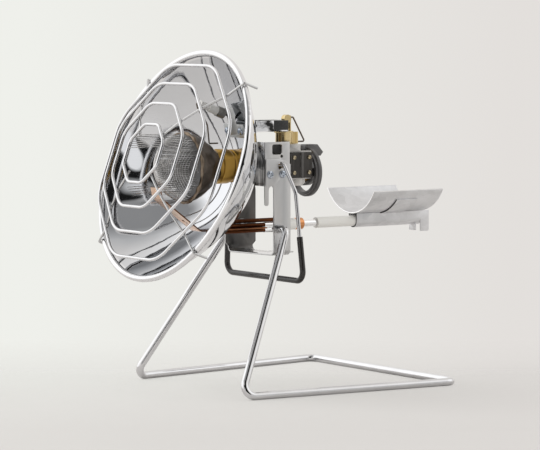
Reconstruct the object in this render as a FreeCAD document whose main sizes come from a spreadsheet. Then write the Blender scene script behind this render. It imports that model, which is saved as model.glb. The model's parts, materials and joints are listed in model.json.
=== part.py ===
import FreeCAD, Part
import math
import os
import re

import Sketcher
from FreeCAD import Placement, Rotation, Vector

# Portable gas heater: a tilted mirror dish with a burner in front of a valve bracket, on a bent rod stand.
# Frame: the dish faces -Y, +X is the side with the governor cover, +Z is up, Z = 0 is the floor.

doc = FreeCAD.newDocument("gas_heater")
sizes = doc.addObject("Spreadsheet::Sheet", "sizes")

# Driving dimensions in millimetres and degrees.
SIZES = {
    # Reflector dish, measured to the centre of its rolled bead.
    "rim_radius": 125.6, "bead_radius": 3.6, "dish_depth": 84, "dish_wall": 1, "dish_tilt": 20,
    "rim_y": -142.2, "rim_z": 241, "inner_slope": 35,
    # Wire guard over the dish.
    "ring_wire": 1.75, "spoke_wire": 1.3, "guard_crown": 42.45, "guard_dome": 212, "ring_inner": 32,
    "ring_step": 25, "ring_corner": 0.39, "spoke_inset": 4, "spoke_bend": 2, "hook_length": 13,
    "hook_slope": 1.5,
    # Burner head and its brass neck.
    "burner_z": 238, "seam_y": -131, "mesh_radius": 36, "mesh_height": 29, "mesh_wall": 1,
    "flange_radius": 38.6, "flange_width": 3, "chamfer": 1, "cup_wall": 1.2, "cup_length": 35,
    "cup_lip": 0.4,
    "bulge_at": 7.7, "bulge_drop": 1.2, "waist_at": 15.8, "waist_drop": 4.6, "taper_at": 27.3,
    "taper_rise": 4.6,
    "neck_radius": 18.7, "neck_step": 0.9, "neck_wall": 2.2, "neck_socket": 6, "neck_ring_at": 5,
    "neck_ring_width": 15, "neck_groove": 3, "neck_groove_depth": 2, "neck_spigot": 9,
    "spigot_length": 12,
    "mixer_bore": 13, "jet_radius": 2.5, "jet_hole": 0.4, "jet_nose": 0.8, "jet_seat": 4,
    "jet_shoulder": 8,
    "jet_tip": 14, "mixer_taper": 2, "pipe_radius": 6, "pipe_bore": 3, "pipe_entry": 5,
    "spacer_wall": 6,
    "neck_nut_wall": 5, "neck_nut_height": 6,
    # Valve bracket, a folded box behind the dish, and the leg bracket screwed to its sides.
    "bracket_y": -49, "bracket_width": 72, "bracket_bottom": 217, "bracket_top": 264,
    "bracket_depth": 32.5,
    "sheet": 1.5, "window_width": 13, "window_height": 11, "window_at": 9.5, "window_drop": 2.5,
    "peep_radius": 1.8, "peep_at": 22, "peep_z": 248.5, "tongue_width": 5, "tongue_length": 21,
    "leg_bracket_top": 246, "leg_bracket_bottom": 142, "strap_width": 22, "strap_inset": 0.5,
    "far_strap_width": 40,
    "far_shoulder": 8, "corner_cut": 4, "strap_bend": 5, "tail_width": 20, "tail_back": 7,
    "screw_radius": 2, "screw_head": 4, "screw_crown": 2.6, "screw_edge": 1.6, "screw_depth": 5,
    "screw_spacing": 16.3, "screw_y": -43.3, "screw_z": 229.5,
    # Stand of bent rod.
    "stand_rod": 4.2, "pivot_y": -31, "pivot_z": 171, "pivot_x": 50.3, "stand_front_x": 104,
    "stand_front_y": -126.5, "stand_rear_x": 131.5, "stand_rear_y": 135.2, "stand_bend": 10,
    "pivot_bend": 9,
    "pin_inset": 7, "cap_radius": 7, "cap_width": 2,
    # Bail handle.
    "bail_rod": 2.1, "bail_y": -28, "bail_z": 240, "bail_elbow_x": 63, "bail_elbow_z": 211,
    "bail_corner_x": 72.4, "bail_corner_z": 116.6, "bail_corner_y": -24.2, "bail_bend": 11,
    "bail_pin_bend": 4,
    "bail_pin_inset": 2, "grip_wall": 1.1, "grip_top": 164,
    # Gas governor and its valve.
    "governor_width": 36, "governor_y": -6, "governor_length": 31, "governor_bottom": 222,
    "governor_top": 260, "shoulder": 252.5, "stub_length": 16.7, "cover_side": 28, "cover_wall": 3,
    "cover_z": 237.5, "ridge_width": 3, "ridge_height": 1.5,
    "diaphragm_wall": 1, "chamber_depth": 9, "cover_screw": 1.25, "cover_head": 2.3,
    "cover_head_height": 1.6,
    "cover_screw_inset": 4, "cover_screw_rise": 8.2, "cover_screw_depth": 6, "gas_way": 8,
    "plug_radius": 9, "plug_length": 7.6, "plug_round": 3.5, "plug_x": 6, "plug_y": 14.5,
    "valve_at": 7, "valve_radius": 9, "valve_height": 14, "valve_lip": 1.5, "valve_lip_height": 2,
    "valve_block_width": 13.5, "valve_block_length": 14.6, "valve_block_step": 1,
    "post_at": 15, "post_radius": 1.5, "post_height": 16.6, "disc_radius": 4.5, "disc_width": 6,
    "disc_drop": 3.5,
    "link_radius": 0.9, "link_bend": 1.5, "link_reach": 20, "link_shoulder": 4.5, "link_drop": 2,
    "link_foot": 2,
    # Cartridge inlet and its hand wheel.
    "inlet_z": 228.8, "inlet_radius": 12, "inlet_length": 16, "inlet_spigot": 5.4, "spigot_depth": 8,
    "thread_radius": 5.56, "thread_depth": 11, "needle_bore": 1, "seal_bore": 2.5, "seal_radius": 4.8,
    "seal_height": 2,
    "wheel_at": 1.5, "wheel_radius": 27.2, "wheel_width": 7.5, "wheel_hub": 15, "wheel_rim": 5.5,
    "wheel_step": 2,
    "wheel_spoke": 9, "lug_width": 13, "lug_length": 21, "lug_height": 12.6, "lug_rise": 2.6,
    "lug_slant": 7.6, "lug_heel": 3.6, "lug_heel_height": 4, "latch_radius": 2.7, "latch_length": 13,
    "latch_foot": 4,
    # Gas knob on the far side.
    "knob_radius": 12, "knob_length": 14, "knob_gap": 1, "knob_draft": 1, "knob_round": 2,
    "flute_radius": 2,
    "flute_depth": 1.2, "spindle_radius": 2.5, "spindle_length": 7, "spindle_depth": 6, "knob_y": 12,
    "knob_z": 240,
    # Spark electrode and igniter; the height on the wall is measured over the burner's axis.
    "wall_height": 39, "plate_x": 4, "plate_width": 36, "plate_height": 15, "plate_gap": 3.6,
    "plate_screw_x": 12,
    "plate_screw_depth": 6, "arm_width": 15, "arm_length": 30, "arm_overlap": 3, "arm_ridge": 5,
    "insulator_radius": 4.6,
    "insulator_length": 23, "insulator_step": 0.8, "collar_radius": 5.8, "collar_length": 9,
    "collar_up": 22,
    "spark_wire": 0.8, "spark_reach": 5, "spark_gap": 1.7, "spark_past": 5, "spark_toe": 11,
    "spark_drop": 7.5, "spark_rise": 20.5, "spark_sway": 2.4, "spark_bend": 1.4, "spark_curve": 12,
    "igniter_length": 28, "igniter_width": 19.3, "igniter_height": 10.4, "igniter_y": -21.8,
    "cheek_height": 12, "cheek_length": 22,
    "button_radius": 3.5, "button_reach": 6, "button_cap": 1, "button_cap_height": 2, "button_stem": 4,
    "button_room": 7, "lead_radius": 1.1, "lead_bend": 40,
    # Heat booster: a copper strip in the dish, rods to the rear, and the cradle under the cartridge.
    # The flange's and the lip's places are measured from the sleeve's rear end.
    "strip_width": 18, "strip_wall": 1.4, "strip_z": 170.1, "strip_tip_y": -164.5, "strip_tip_z": 218,
    "strip_knee_y": -162, "strip_knee_z": 206.2, "strip_foot_y": -112.9, "strip_end": -27,
    "strip_knee_bend": 15,
    "strip_foot_bend": 9, "strip_hole": 1.8, "strip_hole_at": 41,
    "copper_rod": 2.2, "ferrule_wall": 0.5, "ferrule_length": 17.5, "socket_y": -7.5,
    "socket_length": 12.5, "socket_width": 13, "socket_wall": 1.8, "socket_depth": 5.5,
    "socket_boss": 6.3,
    "booster_z": 172.3, "booster_rod": 3.75, "booster_rod_end": 150, "collar_nut_y": 15,
    "collar_nut_length": 10.5, "collar_nut_radius": 6.4,
    "tube_y": 44, "tube_radius": 5.9, "tube_length": 139,
    "cradle_y": 91.8, "cradle_length": 96.3, "cradle_radius": 49.6, "cradle_wall": 1.4,
    "cradle_half": 61.6,
    "cradle_gap": 2.2, "sleeve_y": 95, "sleeve_length": 91, "flange_half": 48, "flange_y": -58.5,
    "flange_length": 28, "stop_width": 10.35, "stop_bottom": 157.4, "lip_y": -7.7, "lip_width": 11,
    "lip_bottom": 158.5,
    # Clearances and cutters: a running fit, a seated joint, a free gap and the length of a through cut.
    "running": 0.05, "seat": 0.02, "free": 0.3, "through": 200,
}
for row, (name, number) in enumerate(SIZES.items(), start=1):
    sizes.set(f"A{row}", name)
    sizes.set(f"B{row}", str(number))
    sizes.setAlias(f"B{row}", name)
doc.recompute()

X_AXIS, Y_AXIS, Z_AXIS = Vector(1, 0, 0), Vector(0, 1, 0), Vector(0, 0, 1)
# Turns that lay a part made along its own +Z, or a body turned about its own +X, along a main axis.
FROM_Z = {"X": Rotation(Y_AXIS, 90), "Y": Rotation(X_AXIS, -90), "Z": Rotation()}
FROM_X = {"X": Rotation(), "Y": Rotation(Z_AXIS, 90), "Z": Rotation(Y_AXIS, -90)}
pieces = {}


def value(expression):
    """The number that an expression over the sheet's cells gives."""
    return float(sizes.evalExpression(expression))


def bind(item, prop, expression):
    """Ties a property to the sheet, so that a changed cell changes the part."""
    item.setExpression(prop, re.sub(r"[a-z_]{3,}", lambda word: linked(word[0]), expression))


def linked(word):
    """A cell's name as other objects write it; anything else is left as it is."""
    return f"sizes.{word}" if word in SIZES else word


def place(item, at, turn=Rotation()):
    """Turns an object and ties its base point to three expressions."""
    item.Placement = Placement(Vector(*[value(part) for part in at]), turn)
    for letter, part in zip("xyz", at):
        bind(item, f"Placement.Base.{letter}", part)


def piece(label, item):
    """Registers a finished sub-part under the name of its file."""
    item.Label = label
    pieces[label] = item
    return item


def cylinder(radius, length, at, axis="Z"):
    item = doc.addObject("Part::Cylinder", "cylinder")
    bind(item, "Radius", radius)
    bind(item, "Height", length)
    place(item, at, FROM_Z[axis])
    return item


def box(length, width, height, at):
    item = doc.addObject("Part::Box", "box")
    bind(item, "Length", length)
    bind(item, "Width", width)
    bind(item, "Height", height)
    place(item, at)
    return item


def join(*parts):
    item = doc.addObject("Part::MultiFuse", "joined")
    item.Shapes = list(parts)
    return item


def cut(base, *tools):
    item = doc.addObject("Part::Cut", "cut")
    item.Base = base
    item.Tool = tools[0] if len(tools) == 1 else join(*tools)
    return item


def group(*parts):
    """Separate solids that share one node."""
    item = doc.addObject("Part::Compound", "group")
    item.Links = list(parts)
    return item


def plane_of(body, role):
    return next(feature for feature in body.Origin.OriginFeatures if feature.Role == role)


def outlined_sketch(body, name, role, outline):
    """A closed outline of straight lines whose corners are all tied to the sheet."""
    sketch = body.newObject("Sketcher::SketchObject", name)
    sketch.AttachmentSupport = [(plane_of(body, role), "")]
    sketch.MapMode = "FlatFace"
    corners = [Vector(value(across), value(up), 0) for across, up in outline]
    count = len(corners)
    for index in range(count):
        sketch.addGeometry(Part.LineSegment(corners[index], corners[(index + 1) % count]), False)
    for index in range(count):
        sketch.addConstraint(Sketcher.Constraint("Coincident", index, 2, (index + 1) % count, 1))
    for index, (across, up) in enumerate(outline):
        for kind, expression in (("DistanceX", across), ("DistanceY", up)):
            number = sketch.addConstraint(Sketcher.Constraint(kind, -1, 1, index, 1, value(expression)))
            bind(sketch, f"Constraints[{number}]", expression)
    return sketch


def turned(label, outline, axis, at=("0", "0", "0")):
    """A lathe-turned body: outline corners are (along the axis, radius)."""
    body = doc.addObject("PartDesign::Body", label)
    sketch = outlined_sketch(body, f"{label}_outline", "XY_Plane", outline)
    spin = body.newObject("PartDesign::Revolution", f"{label}_turned")
    spin.Profile = sketch
    spin.ReferenceAxis = (sketch, ["H_Axis"])
    spin.Angle = 360
    place(body, at, FROM_X[axis])
    return body


def side_plate(label, outline, x, wall):
    """A flat sheet in the YZ plane, from x to x + wall."""
    body = doc.addObject("PartDesign::Body", label)
    sketch = outlined_sketch(body, f"{label}_outline", "YZ_Plane", outline)
    pad = body.newObject("PartDesign::Pad", f"{label}_sheet")
    pad.Profile = sketch
    bind(pad, "Length", wall)
    place(body, (x, "0", "0"))
    return body


def bent_path(corners, bends, closed=False):
    """Straight runs joined by tangent arcs, with one bend radius for each corner."""
    count = len(corners)
    rounded = range(count) if closed else range(1, count - 1)
    entry, leave, arcs = list(corners), list(corners), {}
    for index in rounded:
        corner, bend = corners[index], bends[index]
        back = (corners[index - 1] - corner).normalize()
        ahead = (corners[(index + 1) % count] - corner).normalize()
        half_turn = (math.pi - back.getAngle(ahead)) / 2
        entry[index] = corner + back * (bend * math.tan(half_turn))
        leave[index] = corner + ahead * (bend * math.tan(half_turn))
        middle = corner + (back + ahead).normalize() * (bend / math.cos(half_turn) - bend)
        arcs[index] = Part.Arc(entry[index], middle, leave[index]).toShape()
    edges = []
    for index in range(count if closed else count - 1):
        following = (index + 1) % count
        edges.append(Part.LineSegment(leave[index], entry[following]).toShape())
        if following in arcs:
            edges.append(arcs[following])
    return Part.Wire(edges)


def pipe(path, radius):
    """A round rod along a path."""
    start = path.Edges[0]
    place_on = start.valueAt(start.FirstParameter)
    heading = start.tangentAt(start.FirstParameter)
    section = Part.Wire(Part.makeCircle(radius, place_on, heading))
    return path.makePipeShell([section], True, False)


def shaped(label, shape, placement=Placement()):
    """A part whose shape comes from formulas."""
    item = doc.addObject("Part::Feature", label)
    item.Shape = shape
    item.Placement = placement
    return item


# Reflector dish: two tangent arcs close to a parabola, turned about the dish axis, with a rolled bead.
# In the dish frame x is across, y is up along the rim plane and z points out of the dish.
dish_frame = Placement(Vector(0, value("rim_y"), value("rim_z")), Rotation(X_AXIS, 90 - value("dish_tilt")))
depth, rim = value("dish_depth"), value("rim_radius")
slope_inner, slope_rim = math.radians(value("inner_slope")), math.atan(2 * depth / rim)
across_inner, across_outer = math.sin(slope_inner), math.sin(slope_rim) - math.sin(slope_inner)
rise_inner, rise_outer = 1 - math.cos(slope_inner), math.cos(slope_inner) - math.cos(slope_rim)
arc_share = across_inner * rise_outer - across_outer * rise_inner
outer_arc = (depth * across_inner - rim * rise_inner) / arc_share
inner_arc = (rim - across_outer * outer_arc) / across_inner
inner_centre = Vector(0, 0, inner_arc - depth)
inward = Vector(-math.sin(slope_inner), 0, math.cos(slope_inner))
outer_centre = inner_centre + inward * (outer_arc - inner_arc)


def dish_arc(centre, radius, start, end):
    """An arc of the dish profile between two wall slopes."""
    points = [centre + Vector(math.sin(slope), 0, -math.cos(slope)) * radius
              for slope in (start, (start + end) / 2, end)]
    return Part.Arc(*points).toShape()


def dish_profile(offset):
    return [dish_arc(inner_centre, inner_arc + offset, 0, slope_inner),
            dish_arc(outer_centre, outer_arc + offset, slope_inner, slope_rim)]


def dish_wall_at(up):
    """Depth and slope of the inner wall at a height up the dish, which is negative below its centre."""
    reach = abs(up)
    if reach < inner_arc * math.sin(slope_inner):
        centre, radius = inner_centre, inner_arc
    else:
        centre, radius = outer_centre, outer_arc
    slope = math.asin((reach - centre.x) / radius)
    return centre.z - radius * math.cos(slope), math.copysign(slope, up)


HALVINGS = 60


def wall_frame_at(height):
    """Frame on the inner wall at a height over the floor: x across, y up the wall, z out of the wall."""
    low, high = -rim, rim
    for step in range(HALVINGS):
        up = (low + high) / 2
        wall_z, wall_slope = dish_wall_at(up)
        point = dish_frame.multVec(Vector(0, up, wall_z))
        low, high = (up, high) if point.z < height else (low, up)
    return Placement(point, dish_frame.Rotation.multiply(Rotation(X_AXIS, math.degrees(wall_slope))))


inner, outer = dish_profile(0), dish_profile(value("dish_wall"))
rim_edge = Part.LineSegment(inner[1].Vertexes[-1].Point, outer[1].Vertexes[-1].Point).toShape()
pole_edge = Part.LineSegment(inner[0].Vertexes[0].Point, outer[0].Vertexes[0].Point).toShape()
profile = Part.Face(Part.Wire(Part.__sortEdges__(inner + outer + [rim_edge, pole_edge])))
bowl = profile.revolve(Vector(), Z_AXIS, 360)
bead = Part.makeTorus(rim, value("bead_radius"))
dish_blank = shaped("dish_blank", bowl.fuse(bead).removeSplitter(), dish_frame)

# Holes in the dish: the neck, the copper strip, the plate screws and the igniter lead.
wall_frame = wall_frame_at(value("burner_z + wall_height"))
wall_frame.Base = wall_frame.Base + X_AXIS * value("plate_x")
plate_front = value("plate_gap + sheet + seat")
arm_front = plate_front + value("arm_ridge")
wall_slope = wall_frame.Rotation.multVec(Z_AXIS).getAngle(dish_frame.Rotation.multVec(Z_AXIS))
collar_out = arm_front + value("collar_radius") * math.sin(wall_slope) + value("seat")
spark_frame = Placement(wall_frame.multVec(Vector(0, value("collar_up"), collar_out)), dish_frame.Rotation)
neck_body = "neck_radius - neck_step"
neck_hole = cylinder(f"{neck_body} + free", "through", ("0", "bracket_y - through", "burner_z"), "Y")
strip_room = "strip_wall / 2 + free"
strip_slot = box("strip_width + 2 * free", "strip_end - strip_foot_y", f"2 * ({strip_room})",
                 ("-strip_width / 2 - free", "strip_foot_y", f"strip_z - ({strip_room})"))


def round_hole(radius, frame, x=0.0):
    """A through cut along a frame's z axis."""
    reach = value("through")
    return shaped("hole", Part.makeCylinder(value(radius), reach, Vector(x, 0, -reach / 2), Z_AXIS), frame)


plate_screw_places = [side * value("plate_screw_x") for side in (-1, 1)]
plate_holes = [round_hole("screw_radius + free", wall_frame, x) for x in plate_screw_places]
lead_hole = round_hole("lead_radius + free", spark_frame)
piece("reflector_dish", cut(dish_blank, neck_hole, strip_slot, lead_hole, *plate_holes))

# Wire guard: rounded octagon rings on a domed surface, with four spokes hooked over the bead.
dome_centre = value("guard_crown - guard_dome")


def dome_height(reach, radius):
    """Height over the rim plane of a dome of the given radius about the guard's centre."""
    return dome_centre + math.sqrt(radius ** 2 - reach ** 2)


RING_NAMES = ("inner", "second", "third", "outer")
FLATS, SPOKES = 8, 4
ring_reaches = [value("ring_inner") + index * value("ring_step") for index in range(len(RING_NAMES))]
for name, reach in zip(RING_NAMES, ring_reaches):
    height = dome_height(reach, value("guard_dome"))
    corner_reach = reach / math.cos(math.pi / FLATS)
    corners = [Vector(corner_reach * math.cos(turn), corner_reach * math.sin(turn), height)
               for turn in [(index + 0.5) * 2 * math.pi / FLATS for index in range(FLATS)]]
    ring_path = bent_path(corners, [reach * value("ring_corner")] * FLATS, closed=True)
    ring = pipe(ring_path, value("ring_wire"))
    piece(f"guard_ring_{name}", shaped(f"guard_ring_{name}", ring, dish_frame))

spoke_dome = value("guard_dome - ring_wire - spoke_wire - seat")
spoke_start = ring_reaches[0] - value("spoke_inset")
spoke_line = [(spoke_start, dome_height(spoke_start, spoke_dome))]
spoke_line += [(reach, dome_height(reach, spoke_dome)) for reach in ring_reaches[1:]]
over_bead = value("bead_radius + spoke_wire + 2 * free")
past_bead = rim + value("bead_radius + spoke_wire + free")
spoke_line += [(rim, over_bead), (past_bead, over_bead - value("hook_slope"))]
spoke_line.append((past_bead, -value("hook_length")))
spokes = []
for index in range(SPOKES):
    turn = (index + 0.5) * 2 * math.pi / SPOKES
    corners = [Vector(reach * math.cos(turn), reach * math.sin(turn), height)
               for reach, height in spoke_line]
    spoke_path = bent_path(corners, [value("spoke_bend")] * len(corners))
    spokes.append(shaped("spoke", pipe(spoke_path, value("spoke_wire")), dish_frame))
piece("guard_spokes", group(*spokes))

# Burner: a woven mesh dome, a rolled flange, a tapered cup and a stepped brass neck on one level axis.
mesh_ball = "(mesh_radius ^ 2 + mesh_height ^ 2) / (2 * mesh_height)"
mesh_centre_y = f"seam_y - mesh_height + {mesh_ball}"
on_axis = ("0", "0", "burner_z")


def ball(radius, y):
    item = doc.addObject("Part::Sphere", "ball")
    bind(item, "Radius", radius)
    place(item, ("0", y, "burner_z"))
    return item


behind_seam = box("through", "through", "through",
                  ("-through / 2", "seam_y", "burner_z - through / 2"))
piece("burner_mesh_dome", cut(ball(mesh_ball, mesh_centre_y),
                              ball(f"{mesh_ball} - mesh_wall", mesh_centre_y), behind_seam))

seam_back = "seam_y + flange_width"
piece("burner_flange_ring", turned("burner_flange_ring", [
    ("seam_y", "mesh_radius - 2 * mesh_wall"), ("seam_y", "flange_radius - chamfer"),
    ("seam_y + chamfer", "flange_radius"), (f"{seam_back} - chamfer", "flange_radius"),
    (seam_back, "flange_radius - chamfer"),
    (seam_back, "mesh_radius - 2 * mesh_wall")], "Y", on_axis))

cup_back = f"{seam_back} + cup_length"
spigot = "neck_radius - neck_wall"
cup_line = [("0", "mesh_radius + cup_lip"), ("bulge_at", "mesh_radius - bulge_drop"),
            ("waist_at", "mesh_radius - waist_drop"), ("taper_at", "neck_radius + taper_rise"),
            ("cup_length - chamfer", neck_body), ("cup_length", neck_body)]
cup_outside = [(f"{seam_back} + {along}", radius) for along, radius in cup_line]
cup_inside = [(along, f"{radius} - cup_wall") for along, radius in cup_outside[:4]]
neck_front = f"{cup_back} - neck_socket"
cup_mouth = [(cup_back, f"{spigot} + seat"), (neck_front, f"{spigot} + seat")]
piece("burner_cup", turned("burner_cup", cup_outside + cup_mouth + cup_inside[::-1], "Y", on_axis))

ring_front = f"{cup_back} + neck_ring_at"
ring_back = f"{ring_front} + neck_ring_width"
groove_back = f"{ring_back} + neck_groove"
jet_seat, jet_shoulder = "bracket_y + jet_seat", "bracket_y - jet_shoulder"
spigot_back = "bracket_y + sheet + spigot_length"
piece("burner_neck", turned("burner_neck", [
    (neck_front, "mixer_bore"), (neck_front, spigot), (f"{cup_back} + seat", spigot),
    (f"{cup_back} + seat", neck_body), (f"{ring_front} - chamfer", neck_body), (ring_front, "neck_radius"),
    (f"{ring_back} - chamfer", "neck_radius"), (ring_back, "neck_radius - neck_groove_depth"),
    (groove_back, "neck_radius - neck_groove_depth"), (f"{groove_back} + chamfer", neck_body),
    ("bracket_y - seat", neck_body), ("bracket_y - seat", "neck_spigot"), (spigot_back, "neck_spigot"),
    (spigot_back, "pipe_radius + seat"), (jet_seat, "pipe_radius + seat"), (jet_seat, "jet_radius + seat"),
    (jet_shoulder, "jet_radius + seat"), (f"{jet_shoulder} - mixer_taper", "mixer_bore")], "Y", on_axis))

# A spacer ring fills the gap between the rear of the dish and the bracket.
dish_rear = dish_frame.multVec(inner_centre).y + inner_arc + value("dish_wall + seat")
spacer_length = value("bracket_y - seat") - dish_rear
spacer = Part.makeCylinder(value("neck_radius + spacer_wall"), spacer_length)
spacer = spacer.cut(Part.makeCylinder(value(f"{neck_body} + seat"), spacer_length))
piece("dish_spacer_ring", shaped("dish_spacer_ring", spacer, Placement(
    Vector(0, dish_rear, value("burner_z")), FROM_Z["Y"])))

nut = doc.addObject("Part::Prism", "nut")
nut.Polygon = 6
bind(nut, "Circumradius", "neck_spigot + neck_nut_wall")
bind(nut, "Height", "neck_nut_height")
place(nut, ("0", "bracket_y + sheet + seat", "burner_z"), FROM_Z["Y"])
piece("neck_nut", cut(nut, cylinder("neck_spigot + seat", "through", ("0", "bracket_y", "burner_z"), "Y")))

jet_end = f"{jet_seat} - seat"
piece("gas_jet", turned("gas_jet", [
    ("bracket_y - jet_tip", "jet_hole"), ("bracket_y - jet_tip", "jet_radius - jet_nose"),
    (jet_shoulder, "jet_radius - jet_nose"), (jet_shoulder, "jet_radius"), (jet_end, "jet_radius"),
    (jet_end, "jet_hole")], "Y", on_axis))

pipe_length = f"governor_y + pipe_entry - ({jet_seat})"
piece("outlet_pipe", cut(cylinder("pipe_radius", pipe_length, ("0", jet_seat, "burner_z"), "Y"),
                         cylinder("pipe_bore", pipe_length, ("0", jet_seat, "burner_z"), "Y")))

# Valve bracket: a front plate with two side flanges, a window near the top and a tongue below.
half = "bracket_width / 2"
bracket_height = "bracket_top - bracket_bottom"
front_plate = box("bracket_width", "sheet", bracket_height, (f"-{half}", "bracket_y", "bracket_bottom"))
flanges = [box("sheet", "bracket_depth", bracket_height, (x, "bracket_y", "bracket_bottom"))
           for x in (f"-{half}", f"{half} - sheet")]
tongue = box("sheet", "tongue_width", "tongue_length + chamfer",
             (f"{half} - sheet", "bracket_y", "bracket_bottom - tongue_length"))
spigot_hole = cylinder("neck_spigot + free", "2 * sheet", ("0", "bracket_y - sheet / 2", "burner_z"), "Y")
in_flange = f"{half} - 1.5 * sheet"
window = box("2 * sheet", "window_width", "window_height",
             (in_flange, "bracket_y + window_at", "bracket_top - window_drop - window_height"))
peep_hole = cylinder("peep_radius", "2 * sheet", (in_flange, "bracket_y + peep_at", "peep_z"), "X")
screw_places = ("screw_y", "screw_y + screw_spacing")


def cross_hole(radius, y, z):
    """A through cut across both sides of the brackets."""
    return cylinder(radius, "through", ("-through / 2", y, z), "X")


piece("valve_bracket", cut(join(front_plate, *flanges, tongue), spigot_hole, window, peep_hole,
                           cross_hole("bail_rod + running", "bail_y", "bail_z"),
                           *[cross_hole("screw_radius + seat", y, "screw_z") for y in screw_places]))

# Leg bracket: a bent U of sheet, trimmed to a near strap, a wider far strap and a floor with a tail.
strap_back = "bracket_y + bracket_depth"
strap_front = f"{strap_back} - strap_width"
far_front, far_back = "pivot_y - far_strap_width / 2", "pivot_y + far_strap_width / 2"
bend_top = "leg_bracket_bottom + sheet + strap_bend"
near_strap = side_plate("near_strap", [
    ("bracket_y + strap_inset", "leg_bracket_top"), ("bail_y - corner_cut", "leg_bracket_top"),
    ("bail_y + corner_cut", "bail_z + corner_cut"), (strap_back, "bail_z"),
    (strap_back, "leg_bracket_bottom"), (strap_front, "leg_bracket_bottom"), (strap_front, "bracket_bottom"),
    ("bracket_y + strap_inset", "bracket_bottom")], f"{half} - strap_bend", "sheet + strap_bend")
far_strap = side_plate("far_strap", [
    ("bracket_y + strap_inset", "leg_bracket_top"), (strap_back, "leg_bracket_top"),
    (far_back, "bracket_bottom - far_shoulder"), (far_back, f"{bend_top} + corner_cut"),
    (f"{far_back} - corner_cut", bend_top), (f"{far_back} - corner_cut", "leg_bracket_bottom"),
    (f"{far_front} + corner_cut", "leg_bracket_bottom"), (f"{far_front} + corner_cut", bend_top),
    (far_front, f"{bend_top} + corner_cut"), (far_front, "bracket_bottom - far_shoulder"),
    ("bracket_y + strap_inset", "bracket_bottom")], f"-{half} - sheet", "sheet + strap_bend")

strap_middle, floor_middle = value(f"{half} + sheet / 2"), value("leg_bracket_bottom + sheet / 2")
strap_top = value("leg_bracket_top")
fold_corners = [Vector(-strap_middle, 0, strap_top), Vector(-strap_middle, 0, floor_middle),
                Vector(strap_middle, 0, floor_middle), Vector(strap_middle, 0, strap_top)]
fold_bend = value("strap_bend + sheet / 2")
fold_line = bent_path(fold_corners, [0, fold_bend, fold_bend, 0])
fold_section = Part.makePolygon([fold_corners[0] + Vector(value(x), value(y), 0) for x, y in (
    ("-sheet / 2", far_front), ("sheet / 2", far_front), ("sheet / 2", "tail_back"),
    ("-sheet / 2", "tail_back"), ("-sheet / 2", far_front))])
folded = shaped("folded_sheet", fold_line.makePipeShell([fold_section], True, False))

floor_half, tail_half = value(f"{half} - strap_bend"), value("tail_width / 2")
floor_outline = Part.makePolygon([Vector(x, value(y), value("leg_bracket_bottom")) for x, y in (
    (floor_half, strap_front), (floor_half, strap_back), (tail_half, strap_back), (tail_half, "tail_back"),
    (-tail_half, "tail_back"), (-tail_half, f"{far_back} - corner_cut"),
    (-floor_half, f"{far_back} - corner_cut"), (-floor_half, f"{far_front} + corner_cut"),
    (floor_half, strap_front))])
floor_plate = shaped("floor_plate", Part.Face(floor_outline).extrude(Z_AXIS * value("sheet")))
leg_sheet = doc.addObject("Part::MultiCommon", "leg_sheet")
leg_sheet.Shapes = [folded, join(near_strap, far_strap, floor_plate)]
piece("leg_bracket", cut(leg_sheet, cross_hole("stand_rod + running", "pivot_y", "pivot_z"),
                         cross_hole("bail_rod + running", "bail_y", "bail_z"),
                         *[cross_hole("screw_radius + seat", y, "screw_z") for y in screw_places]))

screw_tip, head_seat = f"{half} - screw_depth", f"{half} + sheet + seat"
head_edge, head_top = f"{half} + sheet + screw_edge", f"{half} + sheet + screw_crown"
screws = []
for side in ("", "-"):
    for y in screw_places:
        screw = turned("bracket_screw", [
            (screw_tip, "0"), (screw_tip, "screw_radius"), (head_seat, "screw_radius"),
            (head_seat, "screw_head"), (head_edge, "screw_head"), (head_top, "screw_head / 2"),
            (head_top, "0")], "X", ("0", y, "screw_z"))
        if side:
            screw.Placement = Placement(screw.Placement.Base, Rotation(Z_AXIS, 180))
        screws.append(screw)
piece("bracket_screws", group(*screws))

# Stand: one rod from pin to pin, down both legs, back along the floor and across the rear.
floor_line = value("stand_rod")
right_side = [Vector(value(f"{half} - pin_inset"), value("pivot_y"), value("pivot_z")),
              Vector(value("pivot_x"), value("pivot_y"), value("pivot_z")),
              Vector(value("stand_front_x"), value("stand_front_y"), floor_line),
              Vector(value("stand_rear_x"), value("stand_rear_y"), floor_line)]
left_side = [Vector(-corner.x, corner.y, corner.z) for corner in reversed(right_side)]

stand_bends = [0, value("pivot_bend")] + [value("stand_bend")] * 4 + [value("pivot_bend"), 0]
stand_path = bent_path(right_side + left_side, stand_bends)
piece("stand_rod_frame", shaped("stand_rod_frame", pipe(stand_path, value("stand_rod"))))

caps = []
for x in (f"{half} - free - cap_width", f"-{half} + free"):
    cap = cut(cylinder("cap_radius", "cap_width", (x, "pivot_y", "pivot_z"), "X"),
              cylinder("stand_rod + seat", "cap_width", (x, "pivot_y", "pivot_z"), "X"))
    caps.append(cap)
piece("pivot_caps", group(*caps))

# Bail handle: a wire with its ends in the bracket, splayed outward and then down, with a sleeved grip.
bail_inner = value(f"{half} - sheet - bail_pin_inset")
bail_turn = value(f"{half} + sheet + bail_rod + bail_pin_inset")
bail_right = [Vector(bail_inner, value("bail_y"), value("bail_z")),
              Vector(bail_turn, value("bail_y"), value("bail_z")),
              Vector(value("bail_elbow_x"), value("bail_y"), value("bail_elbow_z")),
              Vector(value("bail_corner_x"), value("bail_corner_y"), value("bail_corner_z"))]
bail_left = [Vector(-corner.x, corner.y, corner.z) for corner in reversed(bail_right)]
bail_bends = [0, value("bail_pin_bend"), value("bail_bend"), value("bail_bend")]
bail_path = bent_path(bail_right + bail_left, bail_bends + bail_bends[::-1])
piece("bail_wire", shaped("bail_wire", pipe(bail_path, value("bail_rod"))))

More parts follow.
